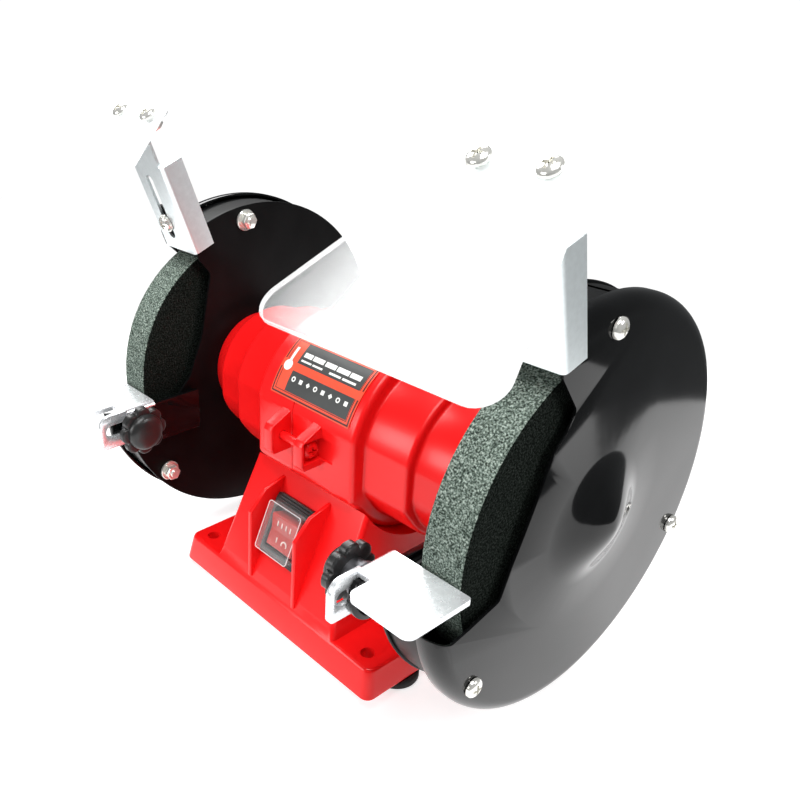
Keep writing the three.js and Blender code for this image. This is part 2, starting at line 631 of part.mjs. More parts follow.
function roundedOutline(points, radii) {
  const shape = new THREE.Shape();
  points.forEach((corner, i) => {
    const before = new THREE.Vector2(...points[(i + points.length - 1) % points.length]);
    const after = new THREE.Vector2(...points[(i + 1) % points.length]);
    const here = new THREE.Vector2(...corner);
    const enter = here.clone().add(before.sub(here).setLength(radii[i]));
    const leave = here.clone().add(after.sub(here).setLength(radii[i]));
    if (i === 0) {
      shape.moveTo(enter.x, enter.y);
    } else {
      shape.lineTo(enter.x, enter.y);
    }
    shape.quadraticCurveTo(here.x, here.y, leave.x, leave.y);
  });
  shape.closePath();
  return shape;
}

function slabZ(shape, z) {
  const geometry = new THREE.ExtrudeGeometry(shape, { depth: z[1] - z[0], bevelEnabled: false, curveSegments: 5 });
  geometry.translate(0, 0, z[0]);
  return toSolid(geometry);
}

function shieldBracket(where) {
  const side = where === "right" ? 1 : -1;
  const end = BRACKET_END[where];
  const spread = (x) => x.map((value) => side * value).sort((a, b) => a - b);
  const n = [BRACKET_N, BRACKET_N + SHEET];
  const web = onRadius([end - BRACKET_WIDTH, end], [80.3, 131], n);
  const flange = onRadius([end - SHEET, end], [80.3, 131], [FLANGE_N, n[1]]);
  const stem = onRadius(spread(STEM_X), [130, STEM_R], n);
  const slot = onRadius(spread([ADJUST_X - 3, ADJUST_X + 3]), SLOT_R, [BRACKET_N - 4, n[1] + 1]);
  const head = onShield(block(spread([91, 129]), [-10.4, 8], [-SHEET, 0]));
  return cut(join(web, flange, stem, head), slot, ...shieldHoles(2.4, side));
}

const screwSpots = SIGNS.map((side) => MIDDLE_X + side * SHIELD_SCREW_X);
const shieldHoles = (r, side = 1) => screwSpots.map((x) => onShield(rodZ(r, [-10, 10], side * x, 0, 12)));

function eyeShield() {
  const points = [[60, -76.4], [160, -76.4], [132, 8], [88, 8]];
  const sheet = slabZ(roundedOutline(points, [12, 12, 5, 5]), [GAP, 3 + GAP]);
  return cut(onShield(sheet), ...shieldHoles(2.4));
}

function shieldScrew(x) {
  const geometry = turnedZ([
    [0, -5.5], [4, -5.5], [4, -SHEET - GAP], [2.1, -SHEET - GAP], [2.1, 3 + 2 * GAP], [4.4, 3 + 2 * GAP],
    [4.4, 4.6], [3.2, 6], [0, 6.4],
  ], 16);
  geometry.translate(x, 0, 0);
  return onShield(toSolid(geometry));
}

function adjustScrew() {
  const front = BRACKET_N + SHEET + GAP;
  const geometry = turnedZ([
    [0, TAB_N[0] - 5.5], [4.4, TAB_N[0] - 5.5], [4.4, TAB_N[0] - GAP], [2.5, TAB_N[0] - GAP], [2.5, front], [5, front],
    [5, front + 1.4], [3.8, front + 3], [0, front + 3.4],
  ], 16);
  geometry.translate(ADJUST_X, 97.5, 0);
  return tilted(toSolid(geometry), BRACKET_DIR, [0, SHAFT_Z]);
}

put("shield_bracket_right", shieldBracket("right"), "zinc");
put("shield_bracket_left", shieldBracket("left"), "zinc");
putPair("eye_shield", eyeShield(), "clear");
putPair("shield_screw_outer", shieldScrew(screwSpots[1]), "zinc");
putPair("shield_screw_inner", shieldScrew(screwSpots[0]), "zinc");
putPair("adjust_screw", adjustScrew(), "zinc");

// ---- origin: bottom centre of the whole ---------------------------------------------------
const bounds = new THREE.Box3().setFromObject(grinder);
const middleY = (bounds.min.y + bounds.max.y) / 2;
grinder.position.set(0, -middleY, 0);
grinder.updateMatrixWorld(true);

export default grinder;
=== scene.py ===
"""Bench grinder: camera, studio light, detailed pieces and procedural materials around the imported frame.

Meshes are drawn in the working frame of the design, in millimetres: x along the motor shaft, y = 0 at the
shaft, z = 0 on the bench. finish_piece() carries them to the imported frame, in metres.
"""

import math

import bpy
import bmesh
from mathutils import Matrix, Vector, noise


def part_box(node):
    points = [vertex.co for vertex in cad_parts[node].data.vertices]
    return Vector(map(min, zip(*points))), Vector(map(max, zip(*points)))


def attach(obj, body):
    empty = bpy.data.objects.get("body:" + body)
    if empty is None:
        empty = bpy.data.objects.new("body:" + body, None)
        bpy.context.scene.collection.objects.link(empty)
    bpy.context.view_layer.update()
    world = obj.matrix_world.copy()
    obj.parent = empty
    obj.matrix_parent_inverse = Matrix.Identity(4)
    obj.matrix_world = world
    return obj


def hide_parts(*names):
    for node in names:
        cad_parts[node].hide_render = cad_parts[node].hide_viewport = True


MM = 0.001
SIDES = ("right", "left")

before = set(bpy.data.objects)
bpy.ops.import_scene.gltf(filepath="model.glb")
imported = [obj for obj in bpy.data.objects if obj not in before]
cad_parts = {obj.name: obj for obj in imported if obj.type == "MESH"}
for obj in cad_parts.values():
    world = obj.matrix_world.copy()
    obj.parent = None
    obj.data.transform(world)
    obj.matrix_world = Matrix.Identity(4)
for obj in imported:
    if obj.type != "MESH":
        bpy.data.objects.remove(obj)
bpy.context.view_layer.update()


def middle(node):
    low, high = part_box(node)
    return [(a + b) / 2 for a, b in zip(low, high)]


SHAFT_Y = middle("shaft")[1]  # metres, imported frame
SHAFT_Z = 105.0  # from here on millimetres, working frame
GAP = 0.3

BASE_Z = 5.0
BASE_TOP_Z = 21.0
BASE_BOTTOM = (75.9, 72.0)
BASE_TOP = (73.2, 68.7)
BOLT_HOLE = (63.0, 59.6)
BOLT_HOLE_R = 3.5
FOOT = (65.5, 42.5)
FOOT_R = 12.0
FLARE_Z = 27.0
FLARE_BOTTOM = (47.5, 68.6)
FLARE_TOP = (45.5, 66.0)
PEDESTAL_TOP = (41.5, 41.5)
PEDESTAL_TOP_Z = 80.5
FIN_X = 17.5
FIN_THICK = 2.5
FIN_OUTLINE = ((-43.2, 76.3), (-56.8, 73), (-67, 62.9), (-68.6, 23), (-58, 23), (-38, 66))
GLAND_S = 46.0

BARREL_R = 48.5
BARREL_X = 36.0
BARREL_FLAT = 46.8
DRUM_R = 41.0
DRUM_X = 63.0
DRUM_FLAT = 39.9
COLLAR_R = 36.5
COLLAR_X = 85.0
BOSS_R = 29.0
SEAM_X = -7.5
STEP_FILLETS = (3.2, 2.6, 5.0)  # at the ends of the barrel, drum and collar
STEP_ROOT = 1.2
SEAM_EDGE = 0.25
HOUSING_TURNS = 192
HOUSING_BORE = 8.0
STATOR_BORE = 45.0
BORE_STEPS = (
    (31, STATOR_BORE), (33, 37.5), (56, 37.5), (58, 33), (73, 32), (73, 16.3), (COLLAR_X, 16.3),
    (COLLAR_X, HOUSING_BORE),
)
LUG_OUTLINE = (
    (-42.0, 119.0), (-46.0, 118.5), (-57.5, 113.0), (-59.0, 110.5), (-59.0, 99.5), (-57.0, 97.0),
    (-42.0, 97.0),
)
LUG_CORNER_R = (0, 2.0, 2.0, 1.6, 1.6, 1.2, 0)
LUG_ROOT = (33.0, 46.0)  # half length and radius of the space kept free under the lugs
LEFT_LUG_X = (-15.0, -8.6)
RIGHT_LUG_X = (7.5, 14.0)
CLAMP = (-51.8, 106.5)
CLAMP_HOLE_R = 2.4
POCKET = 5.8
POCKET_X = (11.0, 22.0)

GUARD_X = 96.0
GUARD_R = 92.2
SHEET = 1.5
COVER_X = 127.0
COVER_R = 93.8
COVER_SHEET = 1.2
COVER_ROUND = 7.3
SKIRT_X = 117.0
DOME_R = 51.0
DOME_X = 138.5
DOME_CROWN = 0.62
WALL_R = (89.7, 91.0)
COVER_OPENING = (
    (-23.8, 161.5), (-27.8, 153.8), (-33.7, 147.5), (-43.9, 122.5), (-49.8, 107), (-55.7, 89.9),
    (-72.8, 85.4), (-82.7, 83.3), (-88, 85.5), (-96, 90), (-130, 90), (-130, 200),
)
COVER_OPENING_R = (4, 3, 6, 20, 20, 3, 6, 3, 3, 0, 0, 0)
PLATE_OPENING = (
    (-30.3, 163.6), (-37.9, 130), (-42.7, 118.7), (-47.7, 107.5), (-56.5, 98), (-130, 96), (-130, 200),
)
PLATE_OPENING_R = (3, 8, 6, 8, 5, 0, 0)
WALL_OPENING = ((0, SHAFT_Z), (-130, 76), (-130, 200))
WALL_OPENING_R = (0, 0, 0)
OPENING_FAR_R = 120
GUARD_TURNS = 160
BOLT_CIRCLE_R = 84.5
BOLT_ANGLES = {"top": 94.0, "front": 218.0, "rear": 335.0}

WHEEL_R = 75.0
WHEEL_X = (102.5, 122.5)
WHEEL_BORE = 6.7
WHEEL_RINGS = (24.0, 40.0, 56.0, 68.0, 73.6)
WHEEL_WEAR = 0.14

REST_Z = 103.5
REST_BACK_Y = -76.5
REST_PIVOT = (-90.5, 94.0)
REST_T = 2.5
TABLE_FRONT = -110.0
TABLE_END = 129.0
NOTCH = (98.0, -97.0)
TAB_Y = (-111.0, -81.0)
TAB_LOW_Z = 84.0
TAB_TOP_Z = 99.4
TAB_SLOT = (12.2, 3.4)
REST_TAB_X = (88.3, 90.8)
ARM_X = (91.1, 94.1)
ARM_TOP_Z = 100.5
ARM_END = (-90.5, 92.0)
ARM_END_R = 12.2
KNOB_X = (77.0, 81.5)
KNOB_R = 13.5
KNOB_LOBES = 8
KNOB_NOTCH = 2.4

BRACKET_ANGLE = {"right": 106.0, "left": 110.5}
BRACKET_SHIFT = {"right": 2.3, "left": -1.6}
BRACKET_LOW_R = {"right": 83.2, "left": 81.0}
BRACKET_N = 13.1
BRACKET_WIDTH = 28.0
FLANGE_N = 1.8
BRACKET_END = {"right": 128.9, "left": -94.1}
ADJUST_X = 111.5
ADJUST_R = 97.5
MIDDLE_X = 110.0
TAB_N = (11.3, 12.8)
SHIELD_ORIGIN = (-56.5, 250.0)
SHIELD_SLOPE = 35.9
SHIELD_SCREW_X = (97.0, 123.0)
SHIELD_SHIFT = {"right": (2.0, -1.0), "left": (-1.0, -5.5)}
SHIELD_T = 2.0
SHIELD_RIM = 0.4
SHIELD_OUTLINE = ((54.5, -79.5), (160.0, -79.5), (134.0, 8.0), (90.0, 8.0))
SHIELD_CORNER_R = (9.0, 9.0, 4.0, 4.0)
SHIELD_REACH = (46.0, 44.0)  # from its middle to its sides and its ends
# The shields grow whiter and more opaque outward, a painted reflection of glare.
SHIELD_GLARE_FADE = (62.0, 150.0, 0.7)  # two distances from the grinder's middle, and the alpha at the second

SWITCH_S = 29.7
WINDOW = (13.3, 13.7)
ROCKER_TILT = 8.0
ROCKER_N = -4.0
ROCKER_HALF = 9.8
ROCKER_FACE = (9.2, 10.6)  # height in its middle and at its ends
ROCKER_END = 9.0
ROCKER_OUTLINE = (
    (-ROCKER_END, ROCKER_FACE[1]), (0, ROCKER_FACE[0]), (ROCKER_END, ROCKER_FACE[1]), (9, 2), (4, -5),
    (-4, -5), (-9, 2),
)
ROCKER_CORNER_R = (0.9, 3.0, 0.9, 0.6, 0.6, 0.6, 0.6)
MARK_RISE = 0.15
LABEL_ARC = (121.0, 158.5)
LABEL_X = (-25.5, 30.5)
LABEL_R = BARREL_R + GAP
LABEL_DEPTH = math.radians(LABEL_ARC[1] - LABEL_ARC[0])
LABEL_ASPECT = (LABEL_X[1] - LABEL_X[0]) / (LABEL_R * LABEL_DEPTH)
LABEL_SHEET = 0.25
LABEL_INK = 0.07
LABEL_WHITE_INK = 0.05

FLOOR_R = 0.46  # from here on metres
FLOOR_SIDES = 96
CAMERA_TURN = (52.87, 27.59, -1.47)  # azimuth, elevation and roll
CAMERA_PLACE = (0.27162, -0.28147, 0.29854)  # from the shaft's line and the bench
CAMERA_LENS = 37.43
CAMERA_SHIFT = (0.1821, 0.0378)
LIGHTS = (  # name, place, target, size and power in watts
    ("overhead", (0.32, -0.3, 1.3), (0, 0, 0.1), (0.7, 0.7), 15),
    ("key_left", (-0.85, 0.35, 1.0), (0.05, 0, 0.1), (1.3, 0.7), 20),
    ("front", (-0.45, -1.3, 0.55), (0, 0, 0.1), (0.7, 0.5), 10),
    ("right_side", (1.2, 0.5, 0.8), (0.1, 0, 0.1), (0.4, 0.5), 11),
)
BACKDROP = ((1, 1, 1, 1), 1.05)
ROOM = ((0.9, 0.95, 1, 1), 0.07)
GLEAM = ((0.95, 0.98, 1, 1), 0.15)


# ---- frames to draw in --------------------------------------------------------------------------
def flat(x, y, z):
    return (x, y, z)


def side(y, z, x):
    """An outline of (y, z) drawn out along x."""
    return (x, y, z)


def turned(y=0.0, z=SHAFT_Z):
    """Heights run along +x, about the line through (y, z)."""
    return lambda a, b, h: (h, y + a, z + b)


def upright(x, y):
    return lambda a, b, h: (x + a, y + b, h)


def sloped(direction, origin):
    """x stays x, v runs along the direction in the y-z plane, n is normal to both."""
    vy, vz = direction
    return lambda x, v, n: (x, origin[0] + vy * v - vz * n, origin[1] + vz * v + vy * n)


def unit(y, z):
    length = math.hypot(y, z)
    return (y / length, z / length)


SLOPE = unit(FLARE_TOP[1] - PEDESTAL_TOP[1], PEDESTAL_TOP_Z - FLARE_Z)
front_face = sloped(SLOPE, (-PEDESTAL_TOP[1], PEDESTAL_TOP_Z))
rear_face = sloped((-SLOPE[0], SLOPE[1]), (PEDESTAL_TOP[1], PEDESTAL_TOP_Z))
SHIELD_DIR = (math.cos(math.radians(SHIELD_SLOPE)), math.sin(math.radians(SHIELD_SLOPE)))


def sign(where):
    return 1 if where == "right" else -1


def radial(where):
    """Along a bracket: x outward from the middle of the grinder, v from the shaft, n forward."""
    angle = math.radians(BRACKET_ANGLE[where])
    straight = sloped((math.cos(angle), math.sin(angle)), (0.0, SHAFT_Z))
    return lambda x, v, n: straight(sign(where) * x, v, n + BRACKET_SHIFT[where])


def shielded(where):
    """On a shield's underside: x outward, v up its slope from the screws, n out of its upper face."""
    straight = sloped(SHIELD_DIR, SHIELD_ORIGIN)
    right, up = SHIELD_SHIFT[where]
    return lambda x, v, n: straight(sign(where) * (x + right), v + up, n)


def pole(place, x, v):
    """A turned piece's frame, standing at (x, v) along the normal of another frame."""
    return lambda a, b, h: place(x + a, v + b, h)


def polar(radius, degrees):
    angle = math.radians(degrees)
    return (radius * math.cos(angle), SHAFT_Z + radius * math.sin(angle))


def bracket_point(where, r, n):
    return radial(where)(0, r, n)[1:]


# ---- mesh building ------------------------------------------------------------------------------
def linked(name, data):
    obj = bpy.data.objects.new(name, data)
    bpy.context.scene.collection.objects.link(obj)
    return obj


def mesh_object(verts, faces):
    mesh = bpy.data.meshes.new("solid")
    mesh.from_pydata(verts, [], faces)
    work = bmesh.new()
    work.from_mesh(mesh)
    bmesh.ops.recalc_face_normals(work, faces=work.faces)
    work.to_mesh(mesh)
    work.free()
    return linked("solid", mesh)


def loft(loops, place=flat, wrap=False):
    """Joins loops of equally many points; the first and last are capped unless the loft wraps round."""
    count = len(loops[0])
    verts = [place(*point) for loop in loops for point in loop]
    faces = []
    bands = len(loops) if wrap else len(loops) - 1
    for band in range(bands):
        low = band * count
        high = ((band + 1) % len(loops)) * count
        for i in range(count):
            j = (i + 1) % count
            faces.append((low + i, low + j, high + j, high + i))
    if not wrap:
        faces.append(tuple(reversed(range(count))))
        faces.append(tuple(range((len(loops) - 1) * count, len(loops) * count)))
    return mesh_object(verts, faces)


def prism(outline, low, high, place=side):
    return loft([[(a, b, h) for a, b in outline] for h in (low, high)], place)


def box(x, y, z, place=flat):
    outline = ((x[0], y[0]), (x[1], y[0]), (x[1], y[1]), (x[0], y[1]))
    return prism(outline, z[0], z[1], place)


def revolve(profile, place, segments=64, shape=None):
    """Turns a profile of (height, radius) points; a shape function may bend each ring."""
    rings = []
    verts = []
    for h, r in profile:
        if r < 1e-6:
            rings.append([len(verts)])
            verts.append(place(0.0, 0.0, h))
            continue
        ring = []
        for i in range(segments):
            turn = 2 * math.pi * i / segments
            radius = shape(r, turn, h) if shape else r
            ring.append(len(verts))
            verts.append(place(radius * math.cos(turn), radius * math.sin(turn), h))
        rings.append(ring)
    faces = []
    closed = profile[0][1] > 1e-6
    pairs = list(zip(rings, rings[1:] + rings[:1])) if closed else list(zip(rings, rings[1:]))
    for a, b in pairs:
        for i in range(segments):
            j = (i + 1) % segments
            face = [a[i % len(a)], a[j % len(a)], b[j % len(b)], b[i % len(b)]]
            face = list(dict.fromkeys(face))
            if len(face) > 2:
                faces.append(face)
    return mesh_object(verts, faces)


def rod(place, low, high, radius, segments=24):
    """A plain cylinder, as a shank or as the cutter of a round hole."""
    return revolve([(low, 0), (low, radius), (high, radius), (high, 0)], place, segments)


def tube(place, low, high, inner, outer, segments):
    """A plain ring with a square section."""
    return revolve([(low, inner), (low, outer), (high, outer), (high, inner)], place, segments)


def arc(centre, radius, start, end, steps):
    """Points on an arc, angles in degrees."""
    points = []
    for i in range(steps + 1):
        angle = math.radians(start + (end - start) * i / steps)
        points.append((centre[0] + radius * math.cos(angle), centre[1] + radius * math.sin(angle)))
    return points


def rounded(points, radii, steps=6):
    """An outline with each corner rounded to its own radius."""
    if not isinstance(radii, (list, tuple)):
        radii = [radii] * len(points)
    result = []
    count = len(points)
    for i, corner in enumerate(points):
        here = Vector(corner)
        before = (Vector(points[i - 1]) - here).normalized()
        after = (Vector(points[(i + 1) % count]) - here).normalized()
        if radii[i] <= 0:
            result.append(tuple(here))
            continue
        half = before.angle(after) / 2
        reach = radii[i] / math.tan(half)
        centre = here + (before + after).normalized() * (radii[i] / math.sin(half))
        start = here + before * reach - centre
        end = here + after * reach - centre
        sweep = start.angle_signed(end)
        for step in range(steps + 1):
            turn = -sweep * step / steps
            spot = centre + Matrix.Rotation(turn, 2) @ start
            result.append(tuple(spot))
    return result


def rounded_box(half_x, half_y, radius, middle_x=0.0, middle_y=0.0, steps=5):
    corners = ((-1, -1), (1, -1), (1, 1), (-1, 1))
    return rounded([(middle_x + a * half_x, middle_y + b * half_y) for a, b in corners], radius, steps)


def baked(obj):
    """Applies an object's modifiers to its mesh."""
    depsgraph = bpy.context.evaluated_depsgraph_get()
    mesh = bpy.data.meshes.new_from_object(obj.evaluated_get(depsgraph))
    obj.modifiers.clear()
    obj.data = mesh
    return obj


def combine(obj, others, operation):
    for other in others:
        step = obj.modifiers.new("solid", "BOOLEAN")
        step.operation = operation
        step.solver = "EXACT"
        step.object = other
    baked(obj)
    for other in others:
        bpy.data.objects.remove(other, do_unlink=True)
    return obj


def cut(obj, *others):
    return combine(obj, others, "DIFFERENCE")


def join(obj, *others):
    return combine(obj, others, "UNION")


def common(obj, *others):
    return combine(obj, others, "INTERSECT")


def bevel(obj, width, segments=2, degrees=30.0):
    work = bmesh.new()
    work.from_mesh(obj.data)
    bmesh.ops.remove_doubles(work, verts=work.verts, dist=1e-4)
    bmesh.ops.dissolve_limit(work, angle_limit=math.radians(0.5), verts=work.verts, edges=work.edges)
    work.to_mesh(obj.data)
    work.free()
    step = obj.modifiers.new("edge", "BEVEL")
    step.width = width
    step.segments = segments
    step.limit_method = "ANGLE"
    step.angle_limit = math.radians(degrees)
    step.miter_outer = "MITER_ARC"
    return baked(obj)


def merged(objects):
    """Several closed shells as one piece."""
    work = bmesh.new()
    for obj in objects:
        work.from_mesh(obj.data)
        bpy.data.objects.remove(obj, do_unlink=True)
    mesh = bpy.data.meshes.new("solid")
    work.to_mesh(mesh)
    work.free()
    return linked("solid", mesh)


def mirrored(obj):
    """A copy on the other side of the middle plane."""
    mesh = obj.data.copy()
    mesh.transform(Matrix.Scale(-1, 4, (1, 0, 0)))
    mesh.flip_normals()
    return linked("solid", mesh)


def finish_piece(obj, name, body, look, nodes=(), smooth=35.0):
    obj.name = name
    obj.data.name = name
    obj.data.transform(Matrix.Translation((0, SHAFT_Y, 0)) @ Matrix.Scale(MM, 4))
    obj.data.shade_smooth()
    obj.data.set_sharp_from_angle(angle=math.radians(smooth))
    obj.data.materials.clear()
    obj.data.materials.append(look)
    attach(obj, body)
    if nodes:
        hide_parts(*nodes)
    return obj


def finish_pair(obj, name, body, look, nodes=(), smooth=35.0):
    """The right-hand piece and its mirror image; {} in a name is the side."""
    copies = {"right": obj, "left": mirrored(obj)}
    for where, copy in copies.items():
        spot_body = body.format(where)
        spot_nodes = [node.format(where) for node in nodes]
        finish_piece(copy, name.format(where), spot_body, look, spot_nodes, smooth)


# ---- materials ----------------------------------------------------------------------------------
class Look:
    """A Principled material and the nodes that give it detail."""

    def __init__(self, name, color, roughness, metallic=0.0, **sockets):
        self.material = bpy.data.materials.new(name)
        self.material.use_nodes = True
        self.nodes = self.material.node_tree.nodes
        self.links = self.material.node_tree.links
        self.shader = self.nodes["Principled BSDF"]
        self.color = color
        self.shader.inputs["Base Color"].default_value = (*color, 1)
        self.shader.inputs["Roughness"].default_value = roughness
        self.shader.inputs["Metallic"].default_value = metallic
        for socket, value in sockets.items():
            self.shader.inputs[socket.replace("_", " ")].default_value = value
        self.place = self.nodes.new("ShaderNodeTexCoord")
        self.height = None

    def noise(self, scale, detail=4.0, stretch=None):
        texture = self.nodes.new("ShaderNodeTexNoise")
        texture.inputs["Scale"].default_value = scale
        texture.inputs["Detail"].default_value = detail
        source = self.place.outputs["Object"]
        if stretch:
            mapping = self.nodes.new("ShaderNodeMapping")
            mapping.inputs["Scale"].default_value = stretch
            self.links.new(source, mapping.inputs["Vector"])
            source = mapping.outputs["Vector"]
        self.links.new(source, texture.inputs["Vector"])
        return texture.outputs["Fac"]

    def cells(self, scale, output="Distance"):
        texture = self.nodes.new("ShaderNodeTexVoronoi")
        texture.inputs["Scale"].default_value = scale
        self.links.new(self.place.outputs["Object"], texture.inputs["Vector"])
        return texture.outputs[output]

    def ramp(self, source, low, high, from_low=0.3, from_high=0.7):
        node = self.nodes.new("ShaderNodeMapRange")
        node.inputs["From Min"].default_value = from_low
        node.inputs["From Max"].default_value = from_high
        node.inputs["To Min"].default_value = low
        node.inputs["To Max"].default_value = high
        self.links.new(source, node.inputs["Value"])
        return node.outputs["Result"]

    def rough(self, source, low, high):
        self.links.new(self.ramp(source, low, high), self.shader.inputs["Roughness"])
        return self

    def colors(self, source, stops):
        node = self.nodes.new("ShaderNodeValToRGB")
        ramp = node.color_ramp
        while len(ramp.elements) < len(stops):
            ramp.elements.new(0.5)
        for element, (position, color) in zip(ramp.elements, stops):
            element.position = position
            element.color = (*color, 1)
        self.links.new(source, node.inputs["Fac"])
        self.links.new(node.outputs["Color"], self.shader.inputs["Base Color"])
        return self

    def bump(self, source, strength, distance):
        node = self.nodes.new("ShaderNodeBump")
        node.inputs["Strength"].default_value = strength
        node.inputs["Distance"].default_value = distance
        self.links.new(source, node.inputs["Height"])
        if self.height is not None:
            self.links.new(self.height, node.inputs["Normal"])
        self.height = node.outputs["Normal"]
        self.links.new(self.height, self.shader.inputs["Normal"])
        return self


def shade(color, factor):
    return tuple(min(1.0, value * factor) for value in color)


def mottled(look, tones, rough, relief):
    """Noise in the tones and roughness (scale, detail, low, high) and in the relief (strength, depth)."""
    scale, detail, low, high = tones
    stops = ((0.3, shade(look.color, low)), (0.7, shade(look.color, high)))
    look.colors(look.noise(scale, detail), stops)
    scale, detail, low, high, *stretch = rough
    look.rough(look.noise(scale, detail, *stretch), low, high)
    scale, detail, strength, depth, *stretch = relief
    look.bump(look.noise(scale, detail, *stretch), strength, depth)
    return look.material


def red_plastic():
    color = (0.88, 0.008, 0.009)
    look = Look("red_plastic", color, 0.28, Specular_IOR_Level=0.3, Coat_Weight=0.05, Coat_Roughness=0.12)
    return mottled(look, (9.0, 2.0, 0.97, 1.03), (45.0, 2.0, 0.275, 0.29), (1500.0, 1.0, 0.02, 0.0001))


def black_enamel(name, low, high, specular):
    color = (0.0040, 0.0042, 0.0044)
    look = Look(name, color, low, Specular_IOR_Level=specular)
    look.colors(look.noise(60.0, 3.0), ((0.35, shade(color, 0.8)), (0.75, shade(color, 1.4))))
    look.rough(look.noise(25.0, 3.0), low, high)
    look.bump(look.noise(140.0, 2.0), 0.02, 0.0003)
    return look.material


def grit(name, painted_shade_factor):
    """Bonded grains; a factor below one darkens the colours and the sheen, a painted shade for the wheels'
    sides.
    """
    look = Look(name, shade((0.16, 0.19, 0.17), painted_shade_factor), 0.9, Specular_IOR_Level=0.2 * painted_shade_factor)
    look.colors(look.noise(1250.0, 6.0), (
        (0.34, shade((0.012, 0.018, 0.014), painted_shade_factor)), (0.45, shade((0.070, 0.095, 0.077), painted_shade_factor)),
        (0.56, shade((0.190, 0.240, 0.205), painted_shade_factor)), (0.70, shade((0.44, 0.51, 0.45), painted_shade_factor)),
    ))
    look.rough(look.noise(1400.0), 0.75, 1.0)
    look.bump(look.noise(1250.0, 4.0), 0.7, 0.0008)
    look.bump(look.cells(800.0), 0.35, 0.0005)
    return look.material


def zinc(name, color=(0.86, 0.88, 0.90), stretch=None, low=0.2, high=0.3, relief=0.07):
    look = Look(name, color, 0.25, 0.65)
    rough = (520.0, 4.0, low, high, stretch)
    return mottled(look, (420.0, 5.0, 0.96, 1.04), rough, (700.0, 3.0, relief, 0.0002, stretch))


def plastic(name, color, low, high, grain=1600.0, strength=0.12):
    look = Look(name, color, low)
    return mottled(look, (80.0, 4.0, 0.9, 1.1), (300.0, 4.0, low, high), (grain, 2.0, strength, 0.0002))


def metal(name, color, low, high, stretch=None):
    look = Look(name, color, low, 1.0)
    rough = (400.0, 4.0, low, high, stretch)
    return mottled(look, (200.0, 4.0, 0.8, 1.1), rough, (1200.0, 2.0, 0.12, 0.0002, stretch))


def clear(name, alpha, tint=(0.93, 0.95, 0.95), glare_fade=None, glow=0.0):
    """Clear plastic; a glare fade (near, far, alpha) changes its alpha outward from the middle, whitening
    the sheet there as a painted reflection of glare; a glow is a painted highlight.
    """
    look = Look(name, tint, 0.06, Coat_Weight=0.3, Emission_Strength=glow, Emission_Color=(1, 1, 1, 1))
    look.shader.inputs["Alpha"].default_value = alpha
    # The whiter, more opaque outer part is a painted reflection of glare on the sheet.
    if glare_fade:
        parts = look.nodes.new("ShaderNodeSeparateXYZ")
        look.links.new(look.place.outputs["Object"], parts.inputs["Vector"])
        outward = look.nodes.new("ShaderNodeMath")
        outward.operation = "ABSOLUTE"
        look.links.new(parts.outputs["X"], outward.inputs[0])
        near, far, far_alpha = glare_fade
        strength = look.ramp(outward.outputs["Value"], alpha, far_alpha, near * MM, far * MM)
        look.links.new(strength, look.shader.inputs["Alpha"])
    look.rough(look.noise(40.0, 5.0), 0.03, 0.10)
    look.bump(look.noise(25.0, 2.0), 0.02, 0.0005)
    return look.material


RED = red_plastic()
BLACK = black_enamel("black_enamel", 0.07, 0.11, 0.28)
BLACK_SATIN = black_enamel("black_satin", 0.3, 0.38, 0.1)
GRIT = grit("grit", 1.0)
# The wheels' flat sides: the same grit darkened, a painted shade for the shadow the covers cast on them.
GRIT_SIDE_PAINTED_SHADE = grit("grit_side_painted_shade", 0.07)
ZINC = zinc("zinc_speckled")
BRUSHED = zinc("zinc_brushed", (0.80, 0.86, 0.87), (0.05, 1.5, 1.5), 0.3, 0.34, 0.004)
BOLT = zinc("bolt_bright", (0.88, 0.87, 0.82), None, 0.08, 0.2)
RUBBER = plastic("rubber", (0.012, 0.012, 0.012), 0.65, 0.85, 1100.0, 0.25)
BLACK_PLASTIC = plastic("black_plastic", (0.014, 0.014, 0.014), 0.28, 0.42)
ROCKER = plastic("rocker_plastic", (0.42, 0.02, 0.012), 0.18, 0.28)
MARK = plastic("rocker_mark", (0.75, 0.62, 0.58), 0.3, 0.4)
LABEL_RED = plastic("label_red", (0.85, 0.075, 0.03), 0.34, 0.44, 900.0, 0.03)
LABEL_DARK = plastic("label_dark", (0.04, 0.043, 0.042), 0.34, 0.46, 900.0, 0.03)
LABEL_LINE = plastic("label_line", (0.06, 0.012, 0.01), 0.34, 0.46, 900.0, 0.03)
LABEL_WHITE = plastic("label_white", (0.85, 0.85, 0.82), 0.34, 0.46, 900.0, 0.03)
BOOT = clear("boot_clear", 0.05)
# Its alpha rises outward, a painted reflection of glare.
SHIELD = clear("shield_clear", 0.08, glare_fade=SHIELD_GLARE_FADE)
BOOT_EDGE = clear("boot_edge", 0.07, (0.95, 0.97, 0.97))
# A weak glow on the shields' and the boot's edges, a painted highlight.
GLOWING_EDGE = clear("shield_edge_glow", 0.3, (0.97, 0.97, 0.97), glow=0.35)
STEEL = metal("machined_steel", (0.5, 0.51, 0.52), 0.25, 0.4)
DULL_STEEL = metal("dull_steel", (0.16, 0.16, 0.17), 0.4, 0.55)
COPPER = metal("copper_wire", (0.72, 0.33, 0.16), 0.3, 0.5, (20.0, 1.0, 1.0))
CAST = metal("cast_aluminium", (0.62, 0.63, 0.64), 0.35, 0.55)


# ---- base ---------------------------------------------------------------------------------------
def frustum(bottom, low, top, high, radius):
    loops = []
    for (half_x, half_y), z in ((bottom, low), (top, high)):
        loops.append([(a, b, z) for a, b in rounded_box(half_x, half_y, radius, steps=6)])
    return loft(loops)


